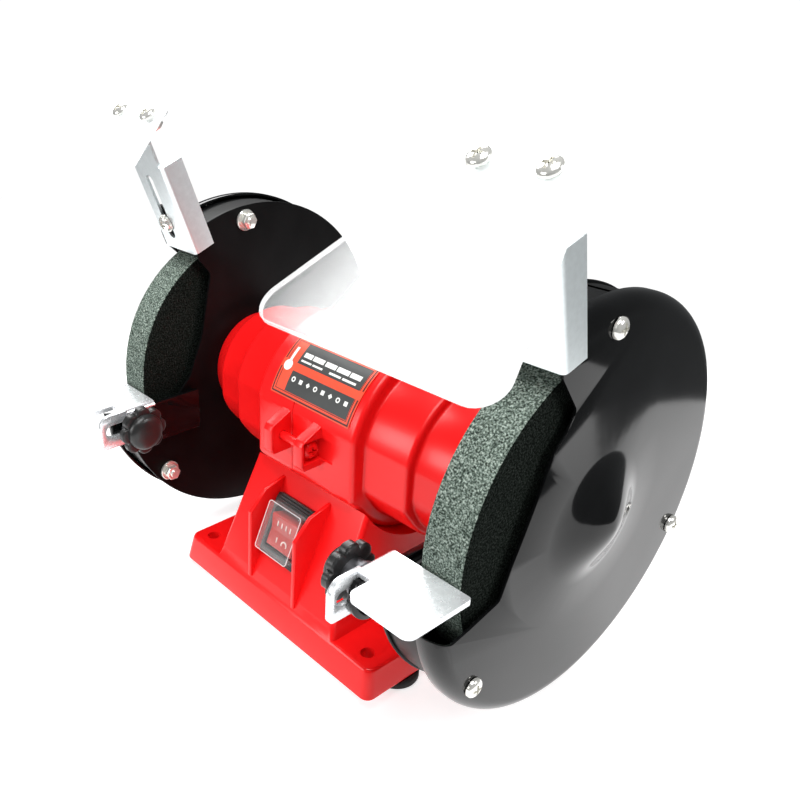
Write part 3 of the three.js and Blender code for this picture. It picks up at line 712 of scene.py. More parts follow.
def base():
    slab = bevel(frustum(BASE_BOTTOM, BASE_Z, BASE_TOP, BASE_TOP_Z, 5.0), 1.6, 3, 50.0)
    flare = frustum(FLARE_BOTTOM, BASE_TOP_Z - 1, FLARE_TOP, FLARE_Z, 3.0)
    tower = frustum(FLARE_TOP, FLARE_Z - 0.01, PEDESTAL_TOP, PEDESTAL_TOP_Z, 2.5)
    fins = [
        bevel(prism(FIN_OUTLINE, x - FIN_THICK / 2, x + FIN_THICK / 2), 0.7, 3, 50.0)
        for x in (-FIN_X, FIN_X)
    ]
    body = join(slab, flare, tower, *fins)
    saddle = rod(turned(), -DRUM_X, DRUM_X, BARREL_R + GAP, 128)
    half_x, half_s = WINDOW
    window = box((-half_x, half_x), (-SWITCH_S - half_s, -SWITCH_S + half_s), (-25, 4), front_face)
    holes = [
        rod(upright(x, y), 0, 30, BOLT_HOLE_R, 32)
        for x in (-BOLT_HOLE[0], BOLT_HOLE[0]) for y in (-BOLT_HOLE[1], BOLT_HOLE[1])
    ]
    cut(body, saddle, window, *holes)
    finish_piece(body, "pedestal", "frame", RED, ["base_pedestal"])


def foot(x, y):
    top = BASE_Z - GAP
    profile = [(0, 0), (0, FOOT_R - 1.4), (0.4, FOOT_R - 0.4), (1.2, FOOT_R), (3.6, FOOT_R)]
    profile += [(4.3, FOOT_R - 0.4), (top, FOOT_R - 1.2), (top, 0)]
    name = f"foot_{'front' if y < 0 else 'rear'}_{'left' if x < 0 else 'right'}"
    obj = revolve(profile, upright(x, y), 64)
    finish_piece(obj, name + "_pad", "frame", RUBBER, [name])


def gland():
    profile = [(GAP, 3.2), (GAP, 8.6), (0.9, 9.0), (3.9, 9.0), (4.5, 8.6), (5.0, 7.0)]
    for ring in range(5):
        h = 6.0 + 1.8 * ring
        profile += [(h, 6.3 - 0.2 * ring), (h + 0.9, 6.3 - 0.2 * ring), (h + 0.9, 5.3), (h + 1.7, 5.3)]
    profile += [(15, 5.3), (15, 3.2)]
    ring = revolve(profile, pole(rear_face, 0.0, -GLAND_S), 48)
    finish_piece(ring, "gland", "frame", RUBBER, ["cable_gland"])


# ---- switch -------------------------------------------------------------------------------------
def ring_sections(sections, place):
    """A closed moulding from rounded rectangles of (half x, half s, corner radius, height)."""
    loops = []
    for half_x, half_s, radius, n in sections:
        loops.append([(a, b, n) for a, b in rounded_box(half_x, half_s, radius, 0.0, -SWITCH_S)])
    return loft(loops, place, wrap=True)


def switch():
    bezel = ring_sections([
        (10.9, 11.3, 1.0, 0.4), (15.5, 17.0, 2.0, 0.4), (15.5, 17.0, 2.0, 2.0), (15.1, 16.6, 1.8, 2.4),
        (14.4, 15.8, 1.6, 2.4), (14.4, 15.8, 1.6, 3.6), (14.1, 15.5, 1.5, 3.9), (13.4, 14.7, 1.4, 3.9),
        (13.4, 14.7, 1.4, 4.7), (13.1, 14.4, 1.3, 5.0), (11.3, 11.7, 1.1, 5.0), (10.9, 11.3, 1.0, 4.6),
    ], front_face)
    well = ring_sections([
        (10.9, 11.3, 1.0, 0.6), (12.9, 13.3, 1.0, 0.6),
        (12.9, 13.3, 1.0, -20.0), (10.9, 11.3, 1.0, -20.0),
    ], front_face)
    frame_piece = merged([bezel, well])
    finish_piece(frame_piece, "switch_bezel", "frame", BLACK_PLASTIC, ["switch_frame"])
    wall = 0.8
    shell = ring_sections([
        (12.2 - wall, 13.2 - wall, 1.0, 5.3), (12.2, 13.2, 1.6, 5.3), (12.2, 13.2, 1.6, 9.3),
        (11.9, 12.9, 1.5, 9.8), (11.3, 12.3, 1.2, 10.0), (11.0, 12.0, 1.2, 9.2),
        (12.2 - wall, 13.2 - wall, 1.0, 8.8),
    ], front_face)
    pane = prism(rounded_box(11.15, 12.15, 1.2, 0.0, -SWITCH_S), 9.25, 9.9, front_face)
    # A thin band along the boot's edge that glows, a painted highlight.
    glow_band = ring_sections([
        (11.95, 12.95, 1.5, 9.75), (12.3, 13.3, 1.6, 9.75),
        (12.3, 13.3, 1.6, 10.05), (11.95, 12.95, 1.5, 10.05),
    ], front_face)
    finish_piece(shell, "boot_rim", "frame", BOOT_EDGE, ["switch_boot"])
    finish_piece(glow_band, "boot_glow_line", "frame", GLOWING_EDGE)
    finish_piece(pane, "boot_pane", "frame", BOOT)


def rocker_frame(x, v, n):
    """The key's own frame, tilted to its off position."""
    tilt = math.radians(ROCKER_TILT)
    along = v * math.cos(tilt) - n * math.sin(tilt)
    out = v * math.sin(tilt) + n * math.cos(tilt)
    return front_face(x, along - SWITCH_S, out + ROCKER_N)


def rocker_side(v, n, x):
    return rocker_frame(x, v, n)


def rocker_height(v):
    """Height of the key's dished face, at a distance from its middle line."""
    low, high = ROCKER_FACE
    return low + v * ((high - low) / ROCKER_END)


def rocker():
    body = prism(rounded(ROCKER_OUTLINE, ROCKER_CORNER_R, 4), -ROCKER_HALF, ROCKER_HALF, rocker_side)
    bevel(body, 0.5, 3, 50.0)
    finish_piece(body, "rocker_key", "rocker", ROCKER, ["switch_rocker"])
    top = rocker_height(5.0)
    bars = [
        box((x, x + 0.7), (3.2, 6.8), (top - 0.5, top + MARK_RISE), rocker_frame)
        for x in (-5.0, -1.8, 1.4, 4.6)
    ]
    top = rocker_height(4.6)
    low, high = top - 0.4, top + MARK_RISE
    circle = tube(pole(rocker_frame, 2.6, -4.8), low, high, 1.5, 2.2, 32)
    stroke = box((-3.4, -2.8), (-7.0, -2.8), (low, high), rocker_frame)
    marks = merged(bars + [circle, stroke])
    finish_piece(marks, "rocker_marks", "rocker", MARK)


# ---- motor housing ------------------------------------------------------------------------------
def smoothstep(value):
    value = min(1.0, max(0.0, value))
    return value * value * (3 - 2 * value)


def flat_sided(radius, flat_at, chin):
    """Radius at a turn from +y: round above, flat in front and behind, with a chin below the shaft."""
    def at(turn):
        across = abs(math.cos(turn))
        wall = flat_at / max(across, 1e-6)
        if math.sin(turn) >= 0:
            return min(radius, wall)
        down = math.degrees(math.asin(min(1.0, abs(math.sin(turn)))))
        reach = chin + (radius - chin) * smoothstep((down - 20.0) / 14.0)
        return min(reach, wall)
    return at


BARREL = flat_sided(BARREL_R, BARREL_FLAT, 51.0)
DRUM = flat_sided(DRUM_R, DRUM_FLAT, 42.0)
COLLAR = flat_sided(COLLAR_R, 36.0, 36.8)
BOSS = flat_sided(BOSS_R, 40.0, BOSS_R)


def housing_stations():
    """(x, section, inset) from the middle to the end: each section's outline, drawn in by the inset."""
    stations = [(0.0, BARREL, 0.0)]
    sections = (BARREL, DRUM, COLLAR, BOSS)
    ends = (BARREL_X, DRUM_X, COLLAR_X)
    for section, end, fillet, following in zip(sections, ends, STEP_FILLETS, sections[1:]):
        for i in range(7):
            angle = math.radians(15 * i)
            x = end - fillet * (1 - math.sin(angle))
            stations.append((x, section, fillet * (1 - math.cos(angle))))
        stations.append((end, following, -STEP_ROOT))
        stations.append((end + STEP_ROOT * 0.3, following, -STEP_ROOT * 0.45))
        stations.append((end + STEP_ROOT, following, 0.0))
    stations.append((GUARD_X - GAP, BOSS, 0.0))
    return stations


def housing_loop(x, radii):
    """Points (y, z, x) round the shaft, one for each radius."""
    loop = []
    for i, radius in enumerate(radii):
        turn = 2 * math.pi * i / HOUSING_TURNS
        loop.append((radius * math.cos(turn), SHAFT_Z + radius * math.sin(turn), x))
    return loop


def housing_part(x_from, x_to):
    """One shell of the housing between two planes, closed by flat ends."""
    outer = housing_stations()
    whole = [(-x, section, inset) for x, section, inset in reversed(outer[1:])] + outer
    kept = [station for station in whole if x_from < station[0] < x_to]
    if x_from > -GUARD_X:
        kept.insert(0, (x_from, BARREL, SEAM_EDGE))
        kept.insert(1, (x_from + SEAM_EDGE, BARREL, 0.0))
        bore = [(kept[-1][0], HOUSING_BORE), *reversed(BORE_STEPS), (kept[0][0], STATOR_BORE)]
    else:
        kept.append((x_to - SEAM_EDGE, BARREL, 0.0))
        kept.append((x_to, BARREL, SEAM_EDGE))
        steps = [(-x, radius) for x, radius in BORE_STEPS]
        bore = [(kept[-1][0], STATOR_BORE), *steps, (kept[0][0], HOUSING_BORE)]
    turns = [2 * math.pi * i / HOUSING_TURNS for i in range(HOUSING_TURNS)]
    loops = [housing_loop(x, [section(turn) - inset for turn in turns]) for x, section, inset in kept]
    loops += [housing_loop(x, [radius] * HOUSING_TURNS) for x, radius in bore]
    return loft(loops, side, wrap=True)


def lug(x, where):
    """A clamping lug with a sloping upper face, in front of the shaft (-1) or behind it (1)."""
    outline = rounded(LUG_OUTLINE, LUG_CORNER_R, 3)
    if where > 0:
        outline = [(-y, z) for y, z in reversed(outline)]
    return bevel(prism(outline, x[0], x[1]), 0.8, 3, 50.0)


def housing():
    left = housing_part(-GUARD_X - 1, SEAM_X - GAP / 2)
    right = housing_part(SEAM_X + GAP / 2, GUARD_X + 1)
    half_length, radius = LUG_ROOT
    for half, lug_x in ((left, LEFT_LUG_X), (right, RIGHT_LUG_X)):
        lugs = [
            cut(lug(lug_x, where), rod(turned(), -half_length, half_length, radius, 96))
            for where in (-1, 1)
        ]
        join(half, *lugs)
        holes = [rod(turned(where * -CLAMP[0], CLAMP[1]), -30, 30, CLAMP_HOLE_R) for where in (-1, 1)]
        cut(half, *holes)
    pockets = [
        prism(rounded_box(POCKET, POCKET, 0.8, where * -CLAMP[0], CLAMP[1]), *POCKET_X)
        for where in (-1, 1)
    ]
    cut(right, *pockets)
    finish_piece(left, "housing_shell_left", "frame", RED, ["housing_left"])
    finish_piece(right, "housing_shell_right", "frame", RED, ["housing_right"])


def pan_head(place, low, radius, height):
    """A domed screw head with a cross recess, standing on its seat at the height low."""
    straight = 0.28
    profile = [(low, 0), (low, radius), (low + height * straight, radius)]
    for i in range(1, 6):
        angle = math.radians(15 * i)
        rise = straight + (1 - straight) * math.sin(angle)
        profile.append((low + height * rise, radius * math.cos(angle)))
    top = low + height
    profile.append((top, 0))
    head = revolve(profile, place, 48)
    wide, thin = radius * 0.55, radius * 0.14
    deep = (top - height * 0.6, top + 1)
    arms = [box((-a, a), (-b, b), deep, place) for a, b in ((wide, thin), (thin, wide))]
    return cut(head, *arms)


def hexagon(radius, y=0.0, z=0.0):
    turns = [math.radians(60 * i) for i in range(6)]
    return [(y + radius * math.cos(turn), z + radius * math.sin(turn)) for turn in turns]


def clamp_screws():
    for where, name in ((-1, "front"), (1, "rear")):
        place = turned(where * -CLAMP[0], CLAMP[1])
        screw = merged([pan_head(place, 11 + GAP, 4.3, 2.7), rod(place, -14.4, 11.6, 2.1)])
        node = f"clamp_screw_{name}"
        finish_piece(screw, node + "_part", "frame", RED, [node])


# ---- rating label -------------------------------------------------------------------------------
def on_label(u, v, n):
    """u and v run from 0 to 1 across and down the label; n stands out of it."""
    turn = math.radians(LABEL_ARC[0]) + v * LABEL_DEPTH
    radius = LABEL_R + n
    x = LABEL_X[0] + (LABEL_X[1] - LABEL_X[0]) * u
    return (x, radius * math.cos(turn), SHAFT_Z + radius * math.sin(turn))


def patch(u, v, n, steps=None):
    """A thin curved rectangle on the label."""
    steps = steps or max(1, round(24 * (v[1] - v[0])))
    loops = []
    for i in range(steps + 1):
        spot = v[0] + (v[1] - v[0]) * i / steps
        loops.append([(u[0], spot, n[0]), (u[1], spot, n[0]), (u[1], spot, n[1]), (u[0], spot, n[1])])
    return loft(loops, on_label)


def disc(u, v, radius, n, sides=20, inner=0.0):
    """A small printed disc or ring; the radius is a share of the label's width."""
    def points(r, height):
        turns = [2 * math.pi * i / sides for i in range(sides)]
        tall = r * LABEL_ASPECT
        return [(u + r * math.cos(turn), v + tall * math.sin(turn), height) for turn in turns]
    if not inner:
        return loft([points(radius, height) for height in n], on_label)
    loops = ((radius, n[0]), (radius, n[1]), (inner, n[1]), (inner, n[0]))
    return loft([points(*loop) for loop in loops], on_label, wrap=True)


def label():
    sheet = patch((0.0, 1.0), (0.0, 1.0), (0.0, LABEL_SHEET))
    finish_piece(sheet, "label_sheet", "frame", LABEL_RED, ["rating_label"])
    n = (LABEL_SHEET, LABEL_SHEET + LABEL_INK)
    line = []
    for inset, wide in ((0.012, 0.014), (0.045, 0.006)):
        inset_v = inset * LABEL_ASPECT
        wide_v = wide * LABEL_ASPECT
        for v in ((inset_v, inset_v + wide_v), (1 - inset_v - wide_v, 1 - inset_v)):
            line.append(patch((inset, 1 - inset), v, n, 1))
        for u in ((inset, inset + wide), (1 - inset - wide, 1 - inset)):
            line.append(patch(u, (inset_v, 0.43), n))
            line.append(patch(u, (0.57, 1 - inset_v), n))
    finish_piece(merged(line), "label_border", "frame", LABEL_LINE)
    dark = [patch((0.17, 0.945), (0.085, 0.44), n), patch((0.17, 0.945), (0.57, 0.9), n)]
    finish_piece(merged(dark), "label_blocks", "frame", LABEL_DARK)
    top = (n[1], n[1] + LABEL_WHITE_INK)
    white = []
    for start, end in ((0.20, 0.30), (0.315, 0.45), (0.47, 0.60), (0.615, 0.76), (0.775, 0.90)):
        white.append(patch((start, end), (0.235, 0.315), top))
    for start, end in ((0.20, 0.33), (0.345, 0.47)):
        white.append(patch((start, end), (0.365, 0.395), top))
    for start, end in ((0.56, 0.70), (0.72, 0.88)):
        white.append(patch((start, end), (0.365, 0.40), top))
    for i in range(8):
        u = 0.225 + 0.094 * i
        if i % 3 == 0:
            white.append(disc(u, 0.69, 0.024, top, inner=0.012))
        elif i % 3 == 1:
            white.append(patch((u - 0.02, u + 0.02), (0.655, 0.725), top))
        else:
            white.append(disc(u, 0.69, 0.024, top, sides=4))
    white.append(disc(0.085, 0.52, 0.05, top))
    white.append(patch((0.07, 0.1), (0.2, 0.44), top))
    finish_piece(merged(white), "label_marks", "frame", LABEL_WHITE)


# ---- wheels -------------------------------------------------------------------------------------
def worn(r, turn, h):
    """Roughens a wheel's working face a little."""
    if r < WHEEL_R - 1:
        return r
    spot = Vector((r * math.cos(turn), r * math.sin(turn), h))
    return r + WHEEL_WEAR * noise.noise(spot * 0.9)


def wheel():
    low, high = WHEEL_X
    flat_face = (WHEEL_BORE, *WHEEL_RINGS)
    profile = [(low, r) for r in flat_face] + [(low + 0.4, WHEEL_R - 0.45)]
    profile += [(low + 1.0 + i * (high - low - 2.0) / 14, WHEEL_R - 0.15) for i in range(15)]
    profile += [(high - 0.4, WHEEL_R - 0.45)] + [(high, r) for r in reversed(flat_face)]
    obj = revolve(profile, turned(), 320, worn)
    for where, copy in (("left", mirrored(obj)), ("right", obj)):
        nodes = [f"grinding_wheel_{where}"]
        finish_piece(copy, f"wheel_{where}", "rotor", GRIT, nodes, 60.0)
        # Faces whose normal runs along the shaft take the darkened grit, a painted shade on the wheel's
        # sides.
        copy.data.materials.append(GRIT_SIDE_PAINTED_SHADE)
        for face in copy.data.polygons:
            face.material_index = int(abs(face.normal.x) > 0.8)


# ---- guards -------------------------------------------------------------------------------------
def opening(where, x, from_r, corners, radii):
    """Cuts away a guard's working opening, below its bracket's tab."""
    edge = tuple(bracket_point(where, r, TAB_N[1]) for r in (OPENING_FAR_R, from_r))
    outline = rounded(edge + tuple(corners), [0, 1] + list(radii), 5)
    return prism(outline, *sorted(sign(where) * value for value in x))


def cover_profile():
    """The cover's outer face from the middle of its dome out to the skirt, as (height, radius)."""
    rise = DOME_X - COVER_X
    points = []
    for i in range(29):
        share = i / 28
        crown = (math.cos(math.pi * min(share / DOME_CROWN, 1.0)) + 1) / 2
        swell = 0.45 * (1 - share) + 0.55 * crown
        points.append((COVER_X + rise * swell, DOME_R * share))
    points += [(COVER_X, DOME_R + 1.2), (COVER_X, 70.0)]
    centre = (COVER_X - COVER_ROUND, COVER_R - COVER_ROUND)
    points += [(h, r) for h, r in arc(centre, COVER_ROUND, 0, 90, 10)]
    points += [(SKIRT_X, COVER_R)]
    return points


def cover_section():
    """The outer face and, one sheet's thickness in, the inner face."""
    outer = cover_profile()
    inner = []
    for h, r in reversed(outer):
        share = max(0.0, (r - (COVER_R - COVER_ROUND)) / COVER_ROUND)
        drop = COVER_SHEET if r < COVER_R - 0.01 else 0.0
        inner.append((h - drop, max(0.0, r - COVER_SHEET * min(1.0, share * 1.3))))
    inner[0] = (SKIRT_X, COVER_R - COVER_SHEET)
    inner[-1] = (DOME_X - COVER_SHEET, 0.0)
    return outer + inner


def cover():
    for where in SIDES:
        points = [(sign(where) * h, r) for h, r in cover_section()]
        shell = revolve(points, turned(), GUARD_TURNS)
        cut(shell, opening(where, (90, 145), 80, COVER_OPENING, COVER_OPENING_R))
        bevel(shell, 0.3, 2, 60.0)
        nodes = [f"guard_cover_{where}"]
        finish_piece(shell, f"cover_{where}", "frame", BLACK, nodes, 30.0)


def inner_guard(where):
    edge = 0.35
    way = sign(where)
    near, far = GUARD_X, GUARD_X + SHEET
    plate = revolve([(way * h, r) for h, r in (
        (near, 9.0), (near, GUARD_R - edge), (near + edge, GUARD_R), (far - edge, GUARD_R),
        (far, GUARD_R - edge), (far, 9.0),
    )], turned(), GUARD_TURNS)
    cut(plate, opening(where, (90, 100), 76, PLATE_OPENING, PLATE_OPENING_R))
    wall = tube(turned(), way * (near + 0.7), way * (SKIRT_X + 0.8), *WALL_R, GUARD_TURNS)
    cut(wall, opening(where, (90, 140), 70, WALL_OPENING, WALL_OPENING_R))
    tab = box((near + 0.2, SKIRT_X - 0.5), (78, 91), TAB_N, radial(where))
    ear = box((102, SKIRT_X - 0.5), (90, 106), TAB_N, radial(where))
    join(plate, wall, tab, ear)
    bevel(plate, 0.25, 2, 60.0)
    nodes = [f"guard_inner_{where}"]
    finish_piece(plate, f"guard_plate_{where}", "frame", BLACK_SATIN, nodes, 30.0)


def cover_bolts():
    for where, angle in BOLT_ANGLES.items():
        y, z = polar(BOLT_CIRCLE_R, angle)
        place = turned(y, z)
        head = pan_head(place, COVER_X + GAP, 4.4, 2.7)
        seat = COVER_X + 0.5
        shank = revolve([(88.4, 0), (88.8, 2.4), (seat, 2.4), (seat, 0)], place, 24)
        washer = revolve([
            (94.5, 2.0), (94.5, 5.5), (94.8, 5.8), (GUARD_X - GAP, 5.8), (GUARD_X - GAP, 2.0),
        ], place, 48)
        nut = bevel(prism(hexagon(4.6, y, z), 90.5, 94.5), 0.45, 2, 50.0)
        piece = merged([head, shank, washer, nut])
        name = "cover_bolt_" + where + "_{}"
        finish_pair(piece, name + "_part", "frame", BOLT, [name], 40.0)


# ---- tool rests ---------------------------------------------------------------------------------
def across(x, z, y):
    return (x, y, z)


def rest_plate():
    """A table and a clamping tab bent from one sheet."""
    x0, x1 = REST_TAB_X
    profile = [(TABLE_END, REST_Z), (TABLE_END, REST_Z - REST_T)]
    profile += [(x, z) for x, z in arc((x1 + 1.2, REST_Z - REST_T - 1.2), 1.2, 90, 180, 5)]
    profile += [(x1, 90.0), (x0, 90.0)]
    profile += [(x, z) for x, z in arc((x0 + 3.0, REST_Z - 3.0), 3.0, 180, 90, 8)]
    bent = prism(profile, TABLE_FRONT, REST_BACK_Y, across)
    plan = rounded([
        (x0 - 1, REST_BACK_Y), (TABLE_END, REST_BACK_Y), (TABLE_END, TABLE_FRONT),
        (NOTCH[0], TABLE_FRONT), NOTCH, (x0 - 1, NOTCH[1]),
    ], (0, 1.5, 4.0, 4.0, 0.8, 0), 6)
    common(bent, prism(plan, 80, 120, flat))
    under_table = box((x0 - 1, x1 + 0.5), (TABLE_FRONT, -80.9), (80, 99.2))
    behind_tab = box((x0 - 1, x1 + 0.2), (-81, -70), (80, 101))
    cut(bent, under_table, behind_tab)
    front, back = TAB_Y
    top = REST_Z - 0.2
    outline = rounded([
        (-94.0, top), (front, top), (front, TAB_LOW_Z), (back, TAB_LOW_Z), (back, TAB_TOP_Z),
        (-94.0, TAB_TOP_Z),
    ], (0, 7.0, 2.5, 3.0, 0, 0), 8)
    tab = prism(outline, x0, x1)
    slot = rounded_box(*TAB_SLOT, 3.3, -95.2, REST_PIVOT[1], 8)
    cut(tab, prism(slot, 80, 95))
    bevel(tab, 0.25, 2, 50.0)
    join(bent, tab)
    finish_pair(bent, "rest_table_{}", "rest_{}", ZINC, ["rest_plate_{}"], 30.0)


def rest_arm():
    outline = arc(ARM_END, ARM_END_R, 136, 270, 24)
    outline += [(-46.0, ARM_END[1] - ARM_END_R), (-46.0, ARM_TOP_Z)]
    strip = prism(outline, *ARM_X)
    foot_block = box((ARM_X[0], GUARD_X - GAP), (-72, -46.5), (77, 98))
    join(strip, foot_block)
    cut(strip, rod(turned(*REST_PIVOT), 85, 97, 3.3, 32))
    bevel(strip, 0.4, 2, 50.0)
    finish_pair(strip, "arm_{}", "frame", BLACK, ["rest_arm_{}"], 30.0)


def lobed(r, turn, _):
    """Notches a knob's rim between its lobes."""
    if r < KNOB_R - 3.0:
        return r
    return r - KNOB_NOTCH * (1 - abs(math.cos(KNOB_LOBES * turn / 2))) ** 1.6


def knob():
    place = turned(*REST_PIVOT)
    low, high = KNOB_X
    rim = ((0.0, 1.4), (0.2, 0.6), (0.7, 0.1))  # how far in from the side and from the lobes' tips
    profile = [(72.4, 0.0), (72.45, 3.0), (72.8, 6.0), (73.6, 8.4), (74.8, 9.6), (76.2, 10.0)]
    profile.append((low, 10.05))
    profile += [(low + x, KNOB_R - r) for x, r in rim]
    profile += [(high - x, KNOB_R - r) for x, r in reversed(rim)]
    profile += [(high, 3.3), (79.0, 3.3), (79.0, 0.0)]
    obj = revolve(profile, place, KNOB_LOBES * 24, lobed)
    finish_pair(obj, "knob_{}", "knob_{}", BLACK_PLASTIC, ["rest_knob_{}"], 35.0)
    face = REST_TAB_X[0] - GAP
    hub = revolve([
        (high, 3.3), (high, 7.0), (face - 1.6, 7.0), (face - 1.6, 7.9), (face - 0.3, 7.9), (face, 7.6),
        (face, 3.3),
    ], place, 64)
    finish_pair(hub, "knob_hub_{}", "knob_{}", DULL_STEEL)


def clamp_bolt():
    shank = [(79.3, 0), (79.3, 2.5)]
    for i in range(12):
        h = 79.8 + 0.8 * i
        shank += [(h, 2.85), (h + 0.4, 2.5)]
    seat = ARM_X[1] + GAP
    end = GUARD_X - GAP
    shank += [(seat, 2.85), (seat, 5.4), (ARM_X[1] + 1.0, 5.9), (end, 5.0), (end, 0)]
    obj = revolve(shank, turned(*REST_PIVOT), 40)
    finish_pair(obj, "rest_bolt_{}", "frame", BOLT, ["clamp_bolt_{}"], 40.0)


# ---- eye shields --------------------------------------------------------------------------------
def bracket(where):
    """A web with one flange, always on the end towards +x, and a head that carries the shield."""
    place = radial(where)
    tilted = shielded(where)
    way = sign(where)
    end = BRACKET_END[where] * way
    low, high = BRACKET_N, BRACKET_N + SHEET
    inner, outer = 0.4, 2.2

    def inward(x, n):
        return (end - way * x, n)
    profile = [inward(BRACKET_WIDTH, low), inward(SHEET + inner, low)]
    profile += [inward(SHEET + inner - x, n + low - inner) for x, n in arc((0, 0), inner, 90, 0, 4)]
    profile += [inward(SHEET, FLANGE_N), inward(0, FLANGE_N)]
    profile += [inward(outer - x, n + high - outer) for x, n in arc((0, 0), outer, 0, 90, 6)]
    profile += [inward(BRACKET_WIDTH, high)]

    def along(x, n, r):
        return place(x, r, n)
    body = prism(profile, BRACKET_LOW_R[where], 131.0, along)
    stem = box((97.0, 123.0), (129.0, 152.4), (low, high), place)
    head = prism(rounded_box(19.0, 9.2, 3.0, MIDDLE_X, -1.2), -SHEET, 0.0, tilted)
    join(body, stem, head)
    slot = prism(rounded_box(3.0, 18.5, 2.95, ADJUST_X, 106.5, 6), low - 4, high + 2, place)
    holes = [rod(pole(tilted, x, 0.0), -8, 8, 2.4) for x in SHIELD_SCREW_X]
    cut(body, slot, *holes)
    bevel(body, 0.3, 2, 50.0)
    nodes = [f"shield_bracket_{where}"]
    finish_piece(body, f"bracket_{where}", f"shield_{where}", BRUSHED, nodes, 30.0)


def shrunk(points, gap):
    """A shield's outline drawn in by a gap, towards its middle."""
    middle_x, middle_v = (sum(axis) / len(SHIELD_OUTLINE) for axis in zip(*SHIELD_OUTLINE))
    scale_x, scale_v = (1 - gap / reach for reach in SHIELD_REACH)
    return [
        (middle_x + (x - middle_x) * scale_x, middle_v + (v - middle_v) * scale_v) for x, v in points
    ]


def shield_sheet(where):
    """The clear sheet, and the polished band round its edge, whose weak glow is a painted highlight."""
    place = shielded(where)
    low, high = GAP, GAP + SHIELD_T
    outline = rounded(SHIELD_OUTLINE, SHIELD_CORNER_R, 8)
    inside = shrunk(outline, SHIELD_RIM)
    rim = loft([[(a, b, n) for a, b in line] for line, n in (
        (outline, low), (outline, high - 0.3), (shrunk(outline, 0.3), high),
        (inside, high), (inside, low),
    )], place, wrap=True)
    holes = [rod(pole(place, x, 0.0), -8, 12, 2.4) for x in SHIELD_SCREW_X]
    pane = prism(shrunk(outline, SHIELD_RIM + 0.05), low, high, place)
    cut(pane, *holes)
    body = f"shield_{where}"
    finish_piece(pane, body + "_pane", body, SHIELD, [f"eye_shield_{where}"], 30.0)
    # The rim glows weakly, a painted highlight.
    finish_piece(rim, body + "_edge", body, GLOWING_EDGE, [], 30.0)
    for piece in (pane, rim):
        piece.visible_shadow = False


def shield_screws(where):
    for spot, x in zip(("inner", "outer"), SHIELD_SCREW_X):
        place = pole(shielded(where), x, 0.0)
        head = pan_head(place, SHIELD_T + 2 * GAP, 4.4, 2.7)
        nut = bevel(prism(hexagon(4.1), -5.0, -SHEET - GAP, place), 0.4, 2, 50.0)
        screw = merged([head, rod(place, -5.4, 3.8, 2.1), nut])
        node = f"shield_screw_{spot}_{where}"
        finish_piece(screw, node + "_part", f"shield_{where}", BOLT, [node], 40.0)


def adjust_screw(where):
    place = pole(radial(where), ADJUST_X, ADJUST_R)
    front = BRACKET_N + SHEET + GAP
    back = TAB_N[0]
    washer = tube(place, front, front + 0.9, 2.0, 5.0, 40)
    head = pan_head(place, front + 0.9, 4.3, 2.4)
    shank = rod(place, back - 5.4, front + 1.2, 2.3)
    nut = bevel(prism(hexagon(4.3), back - 4.6, back - GAP, place), 0.4, 2, 50.0)
    screw = merged([washer, head, shank, nut])
    nodes = [f"adjust_screw_{where}"]
    finish_piece(screw, f"height_screw_{where}", "frame", BOLT, nodes, 40.0)


# ---- carried-over nodes -------------------------------------------------------------------------
CARRIED = {
    "base_plate": ZINC, "capacitor": CAST, "stator_core": STEEL, "rotor_core": CAST, "shaft": STEEL,
    "winding_{}": COPPER, "bearing_{}": STEEL, "flange_inner_{}": STEEL, "flange_outer_{}": STEEL,
    "arbor_nut_{}": BOLT,
}


def carried():
    for pattern, look in CARRIED.items():
        names = [pattern.format(where) for where in SIDES] if "{}" in pattern else [pattern]
        for name in names:
            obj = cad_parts[name]
            obj.data.materials.clear()
            obj.data.materials.append(look)


# ---- studio -------------------------------------------------------------------------------------
def floor():
    verts = [(a, b, 0) for a, b in arc((0, 0), FLOOR_R, 0, 360, FLOOR_SIDES)[:-1]]
    mesh = bpy.data.meshes.new("floor")
    mesh.from_pydata(verts, [], [tuple(range(FLOOR_SIDES))])
    obj = linked("floor", mesh)
    look = Look("floor_white", (0.6, 0.6, 0.6), 0.7, Emission_Strength=0.72, Emission_Color=(1, 1, 1, 1))
    look.rough(look.noise(30.0), 0.6, 0.8)
    mesh.materials.append(look.material)


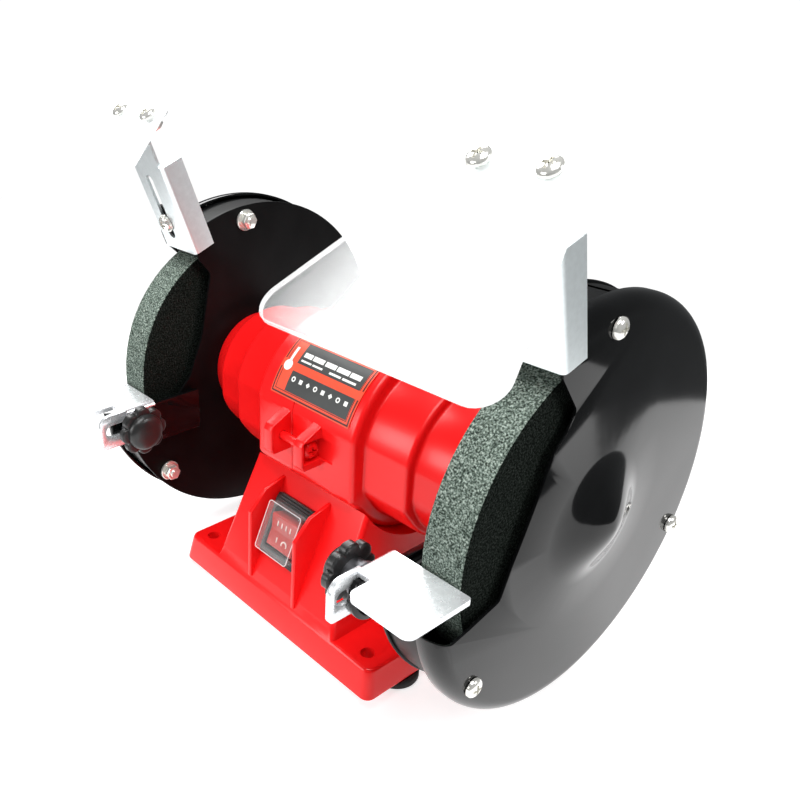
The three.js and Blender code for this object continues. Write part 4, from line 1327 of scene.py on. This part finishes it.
def camera():
    data = bpy.data.cameras.new("camera")
    obj = linked("camera", data)
    az, el, roll = (math.radians(v) for v in CAMERA_TURN)
    back = Vector((math.sin(az) * math.cos(el), -math.cos(az) * math.cos(el), math.sin(el)))
    right = Vector((math.cos(az), math.sin(az), 0.0))
    up = back.cross(right)
    rolled_right = right * math.cos(roll) + up * math.sin(roll)
    rolled_up = up * math.cos(roll) - right * math.sin(roll)
    turn = Matrix((rolled_right, rolled_up, back)).transposed()
    x, y, z = CAMERA_PLACE
    obj.matrix_world = Matrix.Translation((x, SHAFT_Y + y, z)) @ turn.to_4x4()
    data.sensor_width = 36
    data.lens = CAMERA_LENS
    data.shift_x, data.shift_y = CAMERA_SHIFT
    data.clip_start = 0.01
    bpy.context.scene.camera = obj


def area(name, place, target, size, power):
    data = bpy.data.lights.new(name, "AREA")
    data.shape = "RECTANGLE"
    data.size, data.size_y = size
    data.energy = power
    obj = linked(name, data)
    turn = (Vector(target) - Vector(place)).to_track_quat("-Z", "Y").to_matrix().to_4x4()
    obj.matrix_world = Matrix.Translation(place) @ turn


def lights():
    """A white backdrop, a dimmer room for reflections and bounced light, and the area lights."""
    world = bpy.data.worlds.new("world")
    world.use_nodes = True
    nodes = world.node_tree.nodes
    links = world.node_tree.links
    path = nodes.new("ShaderNodeLightPath")

    def background(node, setting):
        node.inputs[0].default_value, node.inputs[1].default_value = setting
        return node.outputs[0]

    def mixed(ray, without, with_ray):
        node = nodes.new("ShaderNodeMixShader")
        links.new(path.outputs[ray], node.inputs["Fac"])
        links.new(without, node.inputs[1])
        links.new(with_ray, node.inputs[2])
        return node.outputs[0]
    backdrop = background(nodes["Background"], BACKDROP)
    room = background(nodes.new("ShaderNodeBackground"), ROOM)
    gleam = background(nodes.new("ShaderNodeBackground"), GLEAM)
    seen = mixed("Is Camera Ray", mixed("Is Glossy Ray", room, gleam), backdrop)
    links.new(seen, nodes["World Output"].inputs["Surface"])
    bpy.context.scene.world = world
    for light in LIGHTS:
        area(*light)
    bpy.context.scene.view_settings.view_transform = "Standard"


base()
for x in (-FOOT[0], FOOT[0]):
    for y in (-FOOT[1], FOOT[1]):
        foot(x, y)
gland()
switch()
rocker()
housing()
clamp_screws()
label()
wheel()
cover()
for where in SIDES:
    inner_guard(where)
cover_bolts()
rest_plate()
rest_arm()
knob()
clamp_bolt()
for where in SIDES:
    bracket(where)
    shield_sheet(where)
    shield_screws(where)
    adjust_screw(where)
carried()
floor()
lights()
camera()
bpy.context.view_layer.update()
